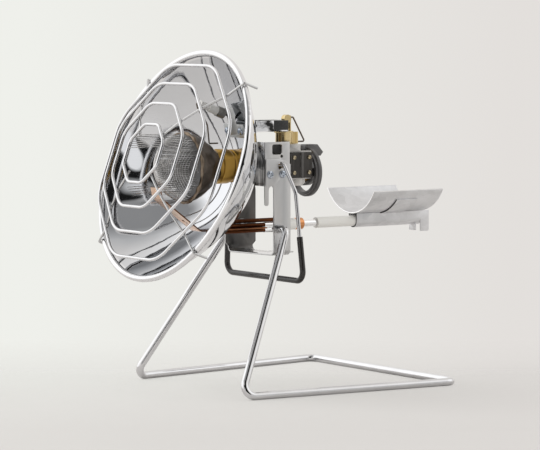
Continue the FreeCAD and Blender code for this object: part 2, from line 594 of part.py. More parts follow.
grip_share = (value("grip_top") - bail_right[3].z) / (bail_right[2].z - bail_right[3].z)
grip_start = bail_right[3] + (bail_right[2] - bail_right[3]) * grip_share
grip_right = [grip_start, bail_right[3]]
grip_left = [Vector(-corner.x, corner.y, corner.z) for corner in reversed(grip_right)]
grip_path = bent_path(grip_right + grip_left, [0, value("bail_bend"), value("bail_bend"), 0])
grip = pipe(grip_path, value("bail_rod + grip_wall")).cut(pipe(grip_path, value("bail_rod + seat")))
piece("bail_grip", shaped("bail_grip", grip))

# Governor: a die-cast block with a square cover over a diaphragm, and a rounded plug below.
face = "governor_width / 2"
governor_middle = "governor_y + governor_length / 2"
governor_back = "governor_y + governor_length"
block = box("governor_width", "governor_length", "shoulder - governor_bottom",
            (f"-{face}", "governor_y", "governor_bottom"))
stub = box("governor_width", "stub_length", "governor_top - governor_bottom",
           (f"-{face}", "governor_y", "governor_bottom"))
chamber = cylinder("cover_side / 2 - cover_screw_inset", "chamber_depth + chamfer",
                   (f"{face} - chamber_depth", governor_middle, "cover_z"), "X")
pipe_socket = cylinder("pipe_radius + seat", "pipe_entry + chamfer",
                       ("0", "governor_y - chamfer", "burner_z"), "Y")
gas_way = cylinder("pipe_bore", "gas_way", ("0", "governor_y", "burner_z"), "Y")
inlet_socket = cylinder("inlet_spigot + running", "spigot_depth + 2 * chamfer",
                        ("0", f"{governor_back} - spigot_depth - chamfer", "inlet_z"), "Y")
spindle_socket = cylinder("spindle_radius + running", "spindle_depth + 2 * chamfer",
                          (f"-{face} - chamfer", "knob_y", "knob_z"), "X")
screw_reach = "(cover_side / 2 - cover_screw_inset)"
cover_screw_places = [(f"{governor_middle} {along} {screw_reach}", f"cover_z {up} cover_screw_rise")
                      for along in "+-" for up in "+-"]
tap_floor = f"{face} - cover_screw_depth"
tapped_holes = [cylinder("cover_screw + seat", "cover_screw_depth + chamfer", (tap_floor, y, z), "X")
                for y, z in cover_screw_places]
piece("governor_body", cut(join(block, stub), chamber, pipe_socket, gas_way, inlet_socket, spindle_socket,
                           *tapped_holes))


def cover_sheet(wall, x):
    """A square plate over the chamber, with its four screw holes."""
    plate = box(wall, "cover_side", "cover_side",
                (x, f"{governor_middle} - cover_side / 2", "cover_z - cover_side / 2"))
    holes = [cylinder("cover_screw + seat", "through", ("0", y, z), "X") for y, z in cover_screw_places]
    return cut(plate, *holes)


piece("diaphragm", cover_sheet("diaphragm_wall", face))
cover_inside = f"{face} + diaphragm_wall"
cover_outside = f"{cover_inside} + cover_wall"
ridge = box("ridge_height", "ridge_width", "cover_side",
            (cover_outside, f"{governor_middle} - ridge_width / 2", "cover_z - cover_side / 2"))
piece("governor_cover", join(cover_sheet("cover_wall", cover_inside), ridge))
cover_seat, cover_crown = f"{cover_outside} + seat", f"{cover_outside} + cover_head_height"
piece("cover_screws", group(*[turned("cover_screw_turned", [
    (tap_floor, "0"), (tap_floor, "cover_screw"), (cover_seat, "cover_screw"), (cover_seat, "cover_head"),
    (f"{cover_outside} + cover_head_height / 2", "cover_head"), (cover_crown, "cover_head / 2"),
    (cover_crown, "0")], "X", ("0", y, z)) for y, z in cover_screw_places]))

plug_top, plug_bottom = "governor_bottom - seat", "governor_bottom - plug_length"
piece("governor_plug", turned("governor_plug", [
    (plug_top, "0"), (plug_top, "plug_radius"), (f"{plug_bottom} + plug_round", "plug_radius"),
    (plug_bottom, "plug_radius - plug_round"), (plug_bottom, "0")], "Z", ("plug_x", "plug_y", "0")))

# A small black latch on the governor's shoulder, in front of the wheel.
latch_y = f"{governor_back} - latch_radius"
latch_z = "shoulder + seat + latch_radius"
piece("latch_block", join(
    cylinder("latch_radius", "latch_length", ("-latch_length / 2", latch_y, latch_z), "X"),
    box("latch_length", "latch_foot", "latch_radius",
        ("-latch_length / 2", f"{latch_y} - latch_foot / 2", "shoulder + seat"))))

# Valve on top of the governor, with a post that carries a disc, and a thin link wire behind it.
valve_y, valve_top = "governor_y + valve_at", "governor_top + valve_height"
valve_base = "governor_top + seat"
tower = cylinder("valve_radius", "valve_height - seat", ("0", valve_y, valve_base), "Z")
tower_lip = cylinder("valve_radius + valve_lip", "valve_lip_height",
                     ("0", valve_y, f"{valve_top} - valve_lip_height"), "Z")
valve_block = box("valve_block_width", "valve_block_length", "valve_height - valve_block_step - seat",
                  ("-valve_block_width / 2", valve_y, valve_base))
piece("valve_body", join(tower, tower_lip, valve_block))
post_y, post_top = "governor_y + post_at", f"{valve_top} + post_height"
post_foot = f"{valve_top} + seat"
post = cylinder("post_radius", f"{post_top} - ({post_foot})", ("0", post_y, post_foot), "Z")
disc = cylinder("disc_radius", "disc_width",
                ("-disc_width / 2", f"{post_y} - disc_radius", f"{post_top} - disc_drop"), "X")
piece("valve_post", join(post, disc))
link_top, link_low = value(f"{post_top} - link_drop"), value("governor_top + link_foot")
link_corners = [Vector(0, value(f"{post_y} + post_radius + seat"), link_top),
                Vector(0, value(f"{post_y} + link_shoulder"), link_top),
                Vector(0, value(f"{post_y} + link_reach"), link_low),
                Vector(0, value(f"{valve_y} + valve_block_length + seat"), link_low)]
link_bends = [0, value("link_bend"), value("link_bend"), 0]
piece("link_wire", shaped("link_wire", pipe(bent_path(link_corners, link_bends), value("link_radius"))))

# Cartridge inlet: a threaded coupling that turns in the governor, with the hand wheel pressed on it.
at_inlet = ("0", "0", "inlet_z")
inlet_front, inlet_back = f"{governor_back} - spigot_depth", f"{governor_back} + inlet_length"
inlet_face, thread_floor = f"{governor_back} + free", f"{inlet_back} - thread_depth"
seal_foot, seal_top = f"{thread_floor} + seat", f"{thread_floor} + seal_height"
piece("inlet_coupling", turned("inlet_coupling", [
    (inlet_front, "needle_bore"), (inlet_front, "inlet_spigot"), (inlet_face, "inlet_spigot"),
    (inlet_face, "inlet_radius"), (inlet_back, "inlet_radius"), (inlet_back, "thread_radius"),
    (seal_top, "thread_radius"), (seal_top, "seal_radius"), (thread_floor, "seal_radius"),
    (thread_floor, "needle_bore")], "Y", at_inlet))
piece("inlet_seal", turned("inlet_seal", [
    (seal_foot, "seal_bore"), (seal_foot, "seal_radius - seat"), (seal_top, "seal_radius - seat"),
    (seal_top, "seal_bore")], "Y", at_inlet))

wheel_front = f"{governor_back} + wheel_at"
wheel_back = f"{wheel_front} + wheel_width"
rim_inside = "wheel_radius - wheel_rim"
hub = turned("wheel_hub_turned", [
    (wheel_front, "inlet_radius + seat"), (wheel_front, "wheel_hub"), (wheel_back, "wheel_hub"),
    (wheel_back, "inlet_radius + seat")], "Y", at_inlet)
rim_ring = turned("wheel_rim_turned", [
    (wheel_front, rim_inside), (wheel_front, "wheel_radius - wheel_step"),
    (f"{wheel_front} + wheel_step", "wheel_radius - wheel_step"),
    (f"{wheel_front} + wheel_step + chamfer", "wheel_radius"), (f"{wheel_back} - chamfer", "wheel_radius"),
    (wheel_back, "wheel_radius - chamfer"), (wheel_back, rim_inside)], "Y", at_inlet)
spoke_y, spoke_width = f"{wheel_front} + wheel_step", "wheel_width - 2 * wheel_step"
spoke_root = "wheel_hub - chamfer"
spoke_length = f"{rim_inside} - wheel_hub + 2 * chamfer"
spoke_low = "inlet_z - wheel_spoke / 2"
near_spoke = box(spoke_length, spoke_width, "wheel_spoke", (spoke_root, spoke_y, spoke_low))
far_spoke = box(spoke_length, spoke_width, "wheel_spoke",
                (f"-({rim_inside}) - chamfer", spoke_y, spoke_low))
top_spoke = box("wheel_spoke", spoke_width, spoke_length,
                ("-wheel_spoke / 2", spoke_y, f"inlet_z + {spoke_root}"))
lug_top = "inlet_z + wheel_radius + lug_rise"
lug_low, lug_back = f"{lug_top} - lug_height", f"{spoke_y} + lug_length"
lug = side_plate("lug_outline", [
    (spoke_y, lug_low), (spoke_y, lug_top), (f"{lug_back} - lug_slant", lug_top),
    (lug_back, f"{lug_low} + lug_heel_height"), (f"{lug_back} - lug_heel", lug_low)],
    "-lug_width / 2", "lug_width")
piece("coupling_wheel", join(hub, rim_ring, near_spoke, far_spoke, top_spoke, lug))

# Gas knob on the far side of the governor.
spindle_tip, knob_face = f"-{face} - spindle_length", f"-{face} - knob_gap"
knob_front = f"{knob_face} - knob_length"
piece("knob_spindle", cylinder("spindle_radius", "spindle_length + spindle_depth",
                               (spindle_tip, "knob_y", "knob_z"), "X"))
spindle_room = f"{spindle_tip} - seat"
knob_blank = turned("knob_blank", [
    (knob_face, "spindle_radius + seat"), (knob_face, "knob_radius"),
    (f"{knob_front} + knob_round", "knob_radius - knob_draft"),
    (knob_front, "knob_radius - knob_draft - knob_round"), (knob_front, "0"), (spindle_room, "0"),
    (spindle_room, "spindle_radius + seat")], "X", ("0", "knob_y", "knob_z"))
FLUTES = 8
flute_reach = "knob_radius + flute_radius - flute_depth"
flutes = []
for index in range(FLUTES):
    turn = 2 * math.pi * index / FLUTES
    flutes.append(cylinder("flute_radius", "knob_length + 2 * chamfer", (
        f"{knob_front} - chamfer", f"knob_y + ({flute_reach}) * {math.cos(turn):.6f}",
        f"knob_z + ({flute_reach}) * {math.sin(turn):.6f}"), "X"))
piece("control_knob", cut(knob_blank, *flutes))

# Spark electrode: a plate on the dish wall, an arm, a collar, a ceramic and a bent wire over the cup.
plate_screw_holes = [round_hole("screw_radius + seat", wall_frame, x) for x in plate_screw_places]


def wall_sheet(width, height, low, back):
    """A flat sheet that lies along the dish wall, given in the wall frame."""
    sheet = Part.makeBox(width, height, value("sheet"), Vector(-width / 2, low, back))
    return shaped("wall_sheet", sheet, wall_frame)


plate_width, plate_height = value("plate_width"), value("plate_height")
piece("electrode_plate", cut(wall_sheet(plate_width, plate_height, -plate_height / 2, value("plate_gap")),
                             *plate_screw_holes))
arm_half, arm_ridge = value("arm_width / 2"), value("arm_ridge")
ridge_wall = value("sheet") * math.hypot(arm_half, arm_ridge) / arm_half
foot_inside = arm_half * (1 - ridge_wall / arm_ridge)
arm_section = Part.makePolygon([Vector(x, -value("arm_overlap"), plate_front + z) for x, z in (
    (-arm_half, 0), (0, arm_ridge), (arm_half, 0), (foot_inside, 0), (0, arm_ridge - ridge_wall),
    (-foot_inside, 0), (-arm_half, 0))])
arm = shaped("ridged_arm", Part.Face(arm_section).extrude(Y_AXIS * value("arm_length")), wall_frame)
piece("electrode_arm", cut(arm, round_hole("lead_radius + free", spark_frame)))

plate_screws = []
for x in plate_screw_places:
    shank = Part.makeCylinder(value("screw_radius"), plate_front + value("plate_screw_depth"),
                              Vector(x, 0, -value("plate_screw_depth")), Z_AXIS)
    head = Part.makeCone(value("screw_head"), value("screw_head / 2"), value("screw_crown"),
                         Vector(x, 0, plate_front), Z_AXIS)
    plate_screws.append(shaped("plate_screw", shank.fuse(head), wall_frame))
piece("electrode_screws", group(*plate_screws))

collar = Part.makeCylinder(value("collar_radius"), value("collar_length"))
collar = collar.cut(Part.makeCylinder(value("lead_radius + seat"), value("collar_length")))
piece("electrode_collar", shaped("electrode_collar", collar, spark_frame))
ceramic_start, ceramic_half = value("collar_length + seat"), value("insulator_length / 2")
ceramic = Part.makeCylinder(value("insulator_radius"), ceramic_half, Vector(0, 0, ceramic_start))
ceramic_tip = Part.makeCylinder(value("insulator_radius - insulator_step"), ceramic_half,
                                Vector(0, 0, ceramic_start + ceramic_half))
piece("electrode_insulator", shaped("electrode_insulator", ceramic.fuse(ceramic_tip), spark_frame))
spark_start = ceramic_start + value("insulator_length + seat")
spark_root = spark_frame.multVec(Vector(0, 0, spark_start))
spark_turn = spark_frame.multVec(Vector(0, 0, spark_start + value("spark_reach")))
spark_sway = Y_AXIS * value("spark_sway")
spark_knee = Vector(spark_root.x, value(f"{cup_back} + spark_past - spark_toe"),
                    value("burner_z + neck_radius + taper_rise + spark_gap"))
spark_corners = [spark_root, spark_turn, spark_turn + spark_sway - Z_AXIS * value("spark_drop"),
                 spark_knee - spark_sway + Z_AXIS * value("spark_rise"), spark_knee,
                 spark_knee + Y_AXIS * value("spark_toe")]
spark_bends = [0, value("spark_bend"), value("spark_curve"), value("spark_curve"), value("spark_bend"), 0]
piece("electrode_wire", shaped("electrode_wire", pipe(bent_path(spark_corners, spark_bends),
                                                      value("spark_wire"))))

# Igniter behind the dish: a bracket on the plate screws, a box, a push button and the lead to the collar.
flange_back = -value("dish_wall + free + sheet")
flange = wall_sheet(plate_width, plate_height, -plate_height / 2, flange_back)
shelf_low = value(f"{valve_top} + seat")
up_wall = wall_frame.Rotation.multVec(Y_AXIS)
flange_middle = wall_frame.multVec(Vector(0, 0, flange_back + value("sheet") / 2))
shelf_front = flange_middle.y + up_wall.y / up_wall.z * (shelf_low - flange_middle.z)
shelf_half = value("igniter_length / 2")
shelf = Part.makeBox(2 * shelf_half, value("igniter_y + igniter_width") - shelf_front, value("sheet"),
                     Vector(-shelf_half, shelf_front, shelf_low))
cheeks = [Part.makeBox(value("sheet"), value("cheek_length"), value("cheek_height"),
                       Vector(x, value("igniter_y - seat - cheek_length"), shelf_low))
          for x in (-shelf_half, shelf_half - value("sheet"))]
dish_room = Part.makeBox(2 * value("through"), value("through"), value("through"),
                         Vector(-value("through"), -value("through") / 2, flange_back + value("sheet")))
dish_room.Placement = wall_frame
tray = shelf.multiFuse(cheeks).cut(dish_room)
piece("igniter_bracket", join(cut(flange, *plate_screw_holes), shaped("igniter_tray", tray)))

shelf_top = f"{valve_top} + sheet + 2 * seat"
igniter_end, igniter_middle = "-igniter_length / 2", "igniter_y + igniter_width / 2"
igniter_z = f"{shelf_top} + igniter_height / 2"
igniter_block = box("igniter_length", "igniter_width", "igniter_height",
                    (igniter_end, "igniter_y", shelf_top))
button_bore = cylinder("button_radius + running", "button_stem + button_room + chamfer",
                       (f"{igniter_end} - chamfer", igniter_middle, igniter_z), "X")
piece("igniter_body", cut(igniter_block, button_bore))
button_outside = f"{igniter_end} - button_reach"
piece("igniter_button", join(
    cylinder("button_radius", "button_reach + button_stem",
             (button_outside, igniter_middle, igniter_z), "X"),
    cylinder("button_radius + button_cap", "button_cap_height",
             (f"{button_outside} - button_cap_height", igniter_middle, igniter_z), "X")))

lead_back = spark_frame.Rotation.multVec(Z_AXIS)
lead_level = value(igniter_z)
lead_turn = spark_frame.Base - lead_back * ((spark_frame.Base.z - lead_level) / lead_back.z)
lead_corners = [Vector(lead_turn.x, value("igniter_y - seat"), lead_level), lead_turn, spark_frame.Base]
piece("igniter_lead", shaped("igniter_lead", pipe(bent_path(lead_corners, [0, value("lead_bend"), 0]),
                                                  value("lead_radius"))))

# Heat booster: a bent copper strip from the flame through the dish, held between rods to the rear.
strip_half, strip_wall = value("strip_width / 2"), value("strip_wall")
strip_corners = [Vector(-strip_half, value("strip_tip_y"), value("strip_tip_z")),
                 Vector(-strip_half, value("strip_knee_y"), value("strip_knee_z")),
                 Vector(-strip_half, value("strip_foot_y"), value("strip_z")),
                 Vector(-strip_half, value("strip_end"), value("strip_z"))]
strip_bends = [0, value("strip_knee_bend"), value("strip_foot_bend"), 0]
strip_line = bent_path(strip_corners, strip_bends)
tip_heading = (strip_corners[1] - strip_corners[0]).normalize()
tip_across = X_AXIS.cross(tip_heading) * (strip_wall / 2)
section = Part.makePolygon([strip_corners[0] + tip_across, strip_corners[0] - tip_across,
                            strip_corners[0] - tip_across + X_AXIS * value("strip_width"),
                            strip_corners[0] + tip_across + X_AXIS * value("strip_width"),
                            strip_corners[0] + tip_across])
strip_blank = strip_line.makePipeShell([section], True, False)
slope_heading = (strip_corners[1] - strip_corners[2]).normalize()
hole_at = strip_corners[1] - slope_heading * value("strip_hole_at")
hole_at.x = 0
hole_axis = X_AXIS.cross(slope_heading)
strip_hole = Part.makeCylinder(value("strip_hole"), 4 * strip_wall,
                               hole_at - hole_axis * (2 * strip_wall), hole_axis)
piece("copper_strip", shaped("copper_strip", strip_blank.cut(strip_hole)))

strip_seat = value("strip_wall / 2 + seat + copper_rod")
ferrule_radius = value("copper_rod + seat + ferrule_wall")
rod_low, rod_middle = value("strip_z") - strip_seat, value("strip_z") + strip_seat
rod_top = rod_middle + ferrule_radius + value("copper_rod + 4 * seat")
socket_front = value("socket_y")
copper_rods = []
for rod_z in (rod_low, rod_middle, rod_top):
    wall_behind = wall_frame_at(rod_z + value("copper_rod")).Base.y + value("2 * dish_wall + free")
    rod_end = socket_front + value("socket_depth - seat")
    copper_rods.append(shaped("copper_rod", Part.makeCylinder(
        value("copper_rod"), rod_end - wall_behind, Vector(0, wall_behind, rod_z), Y_AXIS)))
piece("copper_rods", group(*copper_rods))
ferrules = []
for rod_z in (rod_low, rod_middle):
    ferrule_at = Vector(0, socket_front - value("ferrule_length + seat"), rod_z)
    ferrule = Part.makeCylinder(ferrule_radius, value("ferrule_length"), ferrule_at, Y_AXIS)
    bore = Part.makeCylinder(value("copper_rod + seat"), value("ferrule_length"), ferrule_at, Y_AXIS)
    ferrules.append(shaped("ferrule", ferrule.cut(bore)))
piece("rod_ferrules", group(*ferrules))

rod_cover = value("copper_rod + socket_wall")
socket_low, socket_high = value("leg_bracket_bottom + sheet + seat"), rod_top + rod_cover
socket = Part.makeBox(value("socket_width"), value("socket_length"), socket_high - socket_low,
                      Vector(-value("socket_width / 2"), socket_front, socket_low))
for rod_z in (rod_low, rod_middle, rod_top):
    socket = socket.cut(Part.makeCylinder(value("copper_rod + seat"), value("socket_depth"),
                                          Vector(0, socket_front, rod_z), Y_AXIS))
socket_back, boss_back = value("socket_y + socket_length"), value("collar_nut_y - seat")
socket = socket.fuse(Part.makeCylinder(value("socket_boss"), boss_back - socket_back,
                                       Vector(0, socket_back, value("booster_z")), Y_AXIS))
rear_bore_y = socket_back - value("socket_depth")
socket = socket.cut(Part.makeCylinder(value("booster_rod + seat"), boss_back - rear_bore_y,
                                      Vector(0, rear_bore_y, value("booster_z")), Y_AXIS))
piece("rod_socket", shaped("rod_socket", socket))

inner_rod_y = "socket_y + socket_length - socket_depth + seat"
piece("inner_rod", cylinder("booster_rod", f"booster_rod_end - ({inner_rod_y})",
                            ("0", inner_rod_y, "booster_z"), "Y"))
collar_nut_back = "collar_nut_y + collar_nut_length"
piece("copper_collar", turned("copper_collar", [
    ("collar_nut_y", "booster_rod + seat"), ("collar_nut_y", "collar_nut_radius - chamfer"),
    ("collar_nut_y + chamfer", "collar_nut_radius"), (f"{collar_nut_back} - chamfer", "collar_nut_radius"),
    (collar_nut_back, "collar_nut_radius - chamfer"), (collar_nut_back, "booster_rod + seat")], "Y",
    ("0", "0", "booster_z")))

# Cradle: a tube that slides on the inner rod, a folded sleeve round it and a trough under the cartridge.
at_tube = ("0", "tube_y", "booster_z")
piece("booster_tube", cut(cylinder("tube_radius", "tube_length", at_tube, "Y"),
                          cylinder("booster_rod + running", "tube_length", at_tube, "Y")))


def gutter(outside, inside, length, at, half_angle):
    """A part of a tube that is open at the top, along Y, centred on its lowest line."""
    sectors = []
    for radius in (outside, inside):
        sector = cylinder(radius, length, at, "Y")
        bind(sector, "Angle", f"2 * {half_angle}")
        lowest_turn = Rotation(Z_AXIS, 90 - value(half_angle))
        sector.Placement = Placement(sector.Placement.Base, FROM_Z["Y"].multiply(lowest_turn))
        sectors.append(sector)
    return cut(*sectors)


cradle_z = "(booster_z + tube_radius + cradle_gap + cradle_radius)"
piece("cradle_trough", gutter("cradle_radius", "cradle_radius - cradle_wall", "cradle_length",
                              ("0", "cradle_y", cradle_z), "cradle_half"))

sleeve_inside, sleeve_outside = "tube_radius + seat", "tube_radius + seat + cradle_wall"
side_top = f"{cradle_z} - sqrt(cradle_radius ^ 2 - ({sleeve_inside}) ^ 2) - seat"
side_height = f"{side_top} - booster_z"
sleeve_parts = [gutter(sleeve_outside, sleeve_inside, "sleeve_length",
                       ("0", "sleeve_y", "booster_z"), "90")]
for x in (sleeve_inside, f"-({sleeve_outside})"):
    sleeve_parts.append(box("cradle_wall", "sleeve_length", side_height, (x, "sleeve_y", "booster_z")))
sleeve_back = "sleeve_y + sleeve_length"
sleeve_parts.append(box("cradle_wall", "stop_width + cradle_wall", f"{side_top} - stop_bottom",
                        (sleeve_inside, f"{sleeve_back} - cradle_wall", "stop_bottom")))
sleeve_parts.append(box("lip_width", "cradle_wall", "booster_z - tube_radius - lip_bottom - 2 * seat",
                        ("-lip_width / 2", f"{sleeve_back} + lip_y", "lip_bottom")))
flange_ring = gutter("cradle_radius + seat + cradle_wall", "cradle_radius + seat", "sleeve_length",
                     ("0", "sleeve_y", cradle_z), "flange_half")
flange_bottom = f"{cradle_z} - cradle_radius - 2 * cradle_wall"
flange_outline = box("cradle_radius", "flange_length", "cradle_radius + 2 * cradle_wall",
                     (sleeve_inside, f"{sleeve_back} + flange_y", flange_bottom))
flange_common = doc.addObject("Part::MultiCommon", "flange_common")
flange_common.Shapes = [flange_ring, flange_outline]
piece("cradle_sleeve", join(*sleeve_parts, flange_common))

# Every object must be sound before anything is written.
doc.recompute()
failed = [item.Label for item in doc.Objects if {"Invalid", "Error"} & set(item.State)]
failed += [label for label, item in pieces.items() if item.Shape.isNull() or not item.Shape.isValid()]
if failed:
    raise RuntimeError(f"unsound objects: {failed}")
os.makedirs("parts", exist_ok=True)
for label, item in pieces.items():
    item.Shape.exportStep(f"parts/{label}.step")
print(f"{len(pieces)} pieces written")
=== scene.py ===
import json
import math

import bpy
from mathutils import Matrix, Vector

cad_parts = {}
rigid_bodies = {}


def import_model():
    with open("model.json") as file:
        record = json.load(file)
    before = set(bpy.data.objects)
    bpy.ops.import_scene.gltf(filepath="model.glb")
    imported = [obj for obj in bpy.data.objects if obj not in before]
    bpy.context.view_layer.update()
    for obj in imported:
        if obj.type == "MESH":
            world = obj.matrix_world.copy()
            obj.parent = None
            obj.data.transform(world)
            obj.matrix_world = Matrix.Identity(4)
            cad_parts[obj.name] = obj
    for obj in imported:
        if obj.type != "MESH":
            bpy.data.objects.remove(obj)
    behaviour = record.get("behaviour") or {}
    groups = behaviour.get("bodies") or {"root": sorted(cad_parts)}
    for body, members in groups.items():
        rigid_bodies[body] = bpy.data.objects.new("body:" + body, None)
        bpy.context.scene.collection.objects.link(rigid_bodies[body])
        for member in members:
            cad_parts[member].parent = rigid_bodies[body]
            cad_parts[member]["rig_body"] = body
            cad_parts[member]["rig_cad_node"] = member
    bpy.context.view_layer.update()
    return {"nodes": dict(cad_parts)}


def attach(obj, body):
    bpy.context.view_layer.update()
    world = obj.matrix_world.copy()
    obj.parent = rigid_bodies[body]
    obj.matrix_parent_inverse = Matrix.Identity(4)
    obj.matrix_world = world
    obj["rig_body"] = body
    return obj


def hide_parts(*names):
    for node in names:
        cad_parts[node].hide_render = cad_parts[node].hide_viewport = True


# Portable gas heater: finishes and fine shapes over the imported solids.
# The dish faces -Y, the governor cover is on the +X side, +Z is up and the floor is at Z = 0.
# Places and sizes of pieces are written in millimetres, and MM turns them into metres.
# Angles are in degrees.

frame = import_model()
nodes = frame["nodes"]
MM = 0.001
TOUCHING = 1e-6
FLAT_ANGLE = 0.5
SHARP_ANGLE, TURNED_ANGLE, CRUMPLED_ANGLE, WIRE_ANGLE = 35, 40, 50, 60
EDGE_STEPS, SMALL_STEPS, NECK_STEPS, SHELL_STEPS = 2, 40, 128, 144
ORIGIN, ALONG_X, ALONG_Y = (0, 0, 0), (1, 0, 0), (0, 1, 0)
BURNER_Z = 238


# Working by hand on one piece at a time

def clear_selection():
    if bpy.context.mode != "OBJECT":
        bpy.ops.object.mode_set(mode="OBJECT")
    bpy.ops.object.select_all(action="DESELECT")


def hold(piece):
    """Makes one piece the only selected and active one."""
    clear_selection()
    piece.select_set(True)
    bpy.context.view_layer.objects.active = piece


def added(name):
    """Names the piece that was just added."""
    piece = bpy.context.active_object
    piece.name = name
    piece.data.name = name
    return piece


def edit(piece, mode="EDGE"):
    hold(piece)
    bpy.ops.object.mode_set(mode="EDIT")
    bpy.ops.mesh.select_mode(type=mode)
    bpy.ops.mesh.select_all(action="DESELECT")


def done():
    bpy.ops.object.mode_set(mode="OBJECT")


def pick_edges(piece, wanted):
    """Selects the edges whose two ends, in metres, pass the test."""
    bpy.ops.object.mode_set(mode="OBJECT")
    points = piece.data.vertices
    for edge in piece.data.edges:
        first, second = (points[index].co for index in edge.vertices)
        edge.select = bool(wanted(first, second))
    bpy.ops.object.mode_set(mode="EDIT")


def pick_faces(piece, wanted):
    """Selects the faces whose middle, in metres, and normal pass the test."""
    bpy.ops.object.mode_set(mode="OBJECT")
    for face in piece.data.polygons:
        face.select = bool(wanted(face.center, face.normal))
    bpy.ops.object.mode_set(mode="EDIT")


def apply_modifiers(piece):
    hold(piece)
    for modifier in list(piece.modifiers):
        bpy.ops.object.modifier_apply(modifier=modifier.name)


def smooth(piece, angle=SHARP_ANGLE):
    hold(piece)
    bpy.ops.object.shade_smooth_by_angle(angle=math.radians(angle))


def settle(piece):
    """Puts a piece's place, turn and scale into its mesh."""
    hold(piece)
    bpy.ops.object.transform_apply(location=True, rotation=True, scale=True)


def soften(piece, width, edge_slot):
    """Breaks the sharp edges of a piece, as tumbling does, and gives them a finish of their own."""
    bevel = piece.modifiers.new("edge", "BEVEL")
    bevel.width = width * MM
    bevel.segments = EDGE_STEPS
    bevel.limit_method = "ANGLE"
    bevel.angle_limit = math.radians(SHARP_ANGLE)
    bevel.material = edge_slot
    apply_modifiers(piece)
    smooth(piece)


def carve(piece, *tools):
    """Cuts shapes out of a piece and removes the shapes."""
    for tool in tools:
        cutter = piece.modifiers.new("cut", "BOOLEAN")
        cutter.operation = "DIFFERENCE"
        cutter.solver = "EXACT"
        cutter.object = tool
    apply_modifiers(piece)
    for tool in tools:
        bpy.data.objects.remove(tool)


def joined(name, pieces):
    clear_selection()
    for piece in pieces:
        piece.select_set(True)
    bpy.context.view_layer.objects.active = pieces[0]
    bpy.ops.object.join()
    return added(name)


def copied(piece, place):
    """A copy of a piece with its own mesh, moved by a matrix."""
    hold(piece)
    bpy.ops.object.duplicate()
    copy = bpy.context.active_object
    copy.matrix_world = place @ piece.matrix_world
    settle(copy)
    return copy


def block(name, low, high):
    """A box between two corners."""
    clear_selection()
    middle = [(a + b) / 2 * MM for a, b in zip(low, high)]
    bpy.ops.mesh.primitive_cube_add(size=1, location=middle)
    piece = added(name)
    piece.scale = [abs(b - a) * MM for a, b in zip(low, high)]
    settle(piece)
    return piece


def lathe(name, outline, centre, axis, steps):
    """Turns an outline of (along, radius) corners about an axis through a centre."""
    clear_selection()
    bpy.ops.mesh.primitive_plane_add(size=MM)
    piece = added(name)
    edit(piece, "VERT")
    bpy.ops.mesh.select_all(action="SELECT")
    bpy.ops.mesh.merge(type="CENTER")
    first_along, first_radius = outline[0]
    bpy.ops.transform.translate(value=Vector((first_radius * MM, 0, first_along * MM)))
    for (along, radius), (last_along, last_radius) in zip(outline[1:], outline):
        step = Vector((radius - last_radius, 0, along - last_along)) * MM
        bpy.ops.mesh.extrude_vertices_move(TRANSFORM_OT_translate={"value": step})
    bpy.ops.mesh.select_all(action="SELECT")
    bpy.ops.mesh.spin(steps=steps, angle=2 * math.pi, center=(0, 0, 0), axis=(0, 0, 1))
    bpy.ops.mesh.select_all(action="SELECT")
    bpy.ops.mesh.remove_doubles(threshold=TOUCHING)
    bpy.ops.mesh.normals_make_consistent(inside=False)
    done()
    piece.location = Vector(centre) * MM
    piece.rotation_euler = Vector(axis).to_track_quat("Z", "Y").to_euler()
    settle(piece)
    return piece


def dressed(piece, material, body, replaced=()):
    """Gives a piece its body and the nodes that it stands for, and a material unless it has its own."""
    if material is not None:
        piece.data.materials.clear()
        piece.data.materials.append(material)
    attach(piece, body)
    if replaced:
        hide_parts(*replaced)
    return piece


def bare_copy(node, name):
    """A copy of a CAD node with its triangles merged into flat faces."""
    hold(nodes[node])
    bpy.ops.object.duplicate()
    piece = added(name)
    piece.parent = None
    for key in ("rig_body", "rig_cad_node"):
        del piece[key]
    edit(piece)
    bpy.ops.mesh.customdata_custom_splitnormals_clear()
    bpy.ops.mesh.select_all(action="SELECT")
    bpy.ops.mesh.remove_doubles(threshold=TOUCHING)
    bpy.ops.mesh.dissolve_limited(angle_limit=math.radians(FLAT_ANGLE))
    done()
    return piece


# Patterns for finishes

DRIFT = (0.3, 0.7)
EVEN = (1, 1, 1)
NOISE_DETAIL = 3.0
RELIEF_GRAIN = 6
RELIEF_DEPTH = 0.1 * MM
PLAIN_GLOSS = 1.5


def finish_of(name):
    material = bpy.data.materials.new(name)
    material.use_nodes = True
    tree = material.node_tree
    return material, tree, tree.nodes["Principled BSDF"]


def placed_pattern(tree, stretch=EVEN):
    """The piece's own coordinates, stretched for a pattern."""
    where = tree.nodes.new("ShaderNodeTexCoord")
    mapping = tree.nodes.new("ShaderNodeMapping")
    mapping.inputs["Scale"].default_value = stretch
    tree.links.new(where.outputs["Object"], mapping.inputs["Vector"])
    return mapping.outputs["Vector"]


def noise(tree, vector, scale):
    texture = tree.nodes.new("ShaderNodeTexNoise")
    texture.inputs["Scale"].default_value = scale
    texture.inputs["Detail"].default_value = NOISE_DETAIL
    tree.links.new(vector, texture.inputs["Vector"])
    return texture.outputs["Fac"]


def tones(tree, source, dark, light, band=DRIFT):
    """Colours a pattern from dark to light between the two ends of a band."""
    colours = tree.nodes.new("ShaderNodeValToRGB")
    for element, place, colour in zip(colours.color_ramp.elements, band, (dark, light)):
        element.position = place
        element.color = (*colour, 1)
    tree.links.new(source, colours.inputs["Fac"])
    return colours.outputs["Color"]


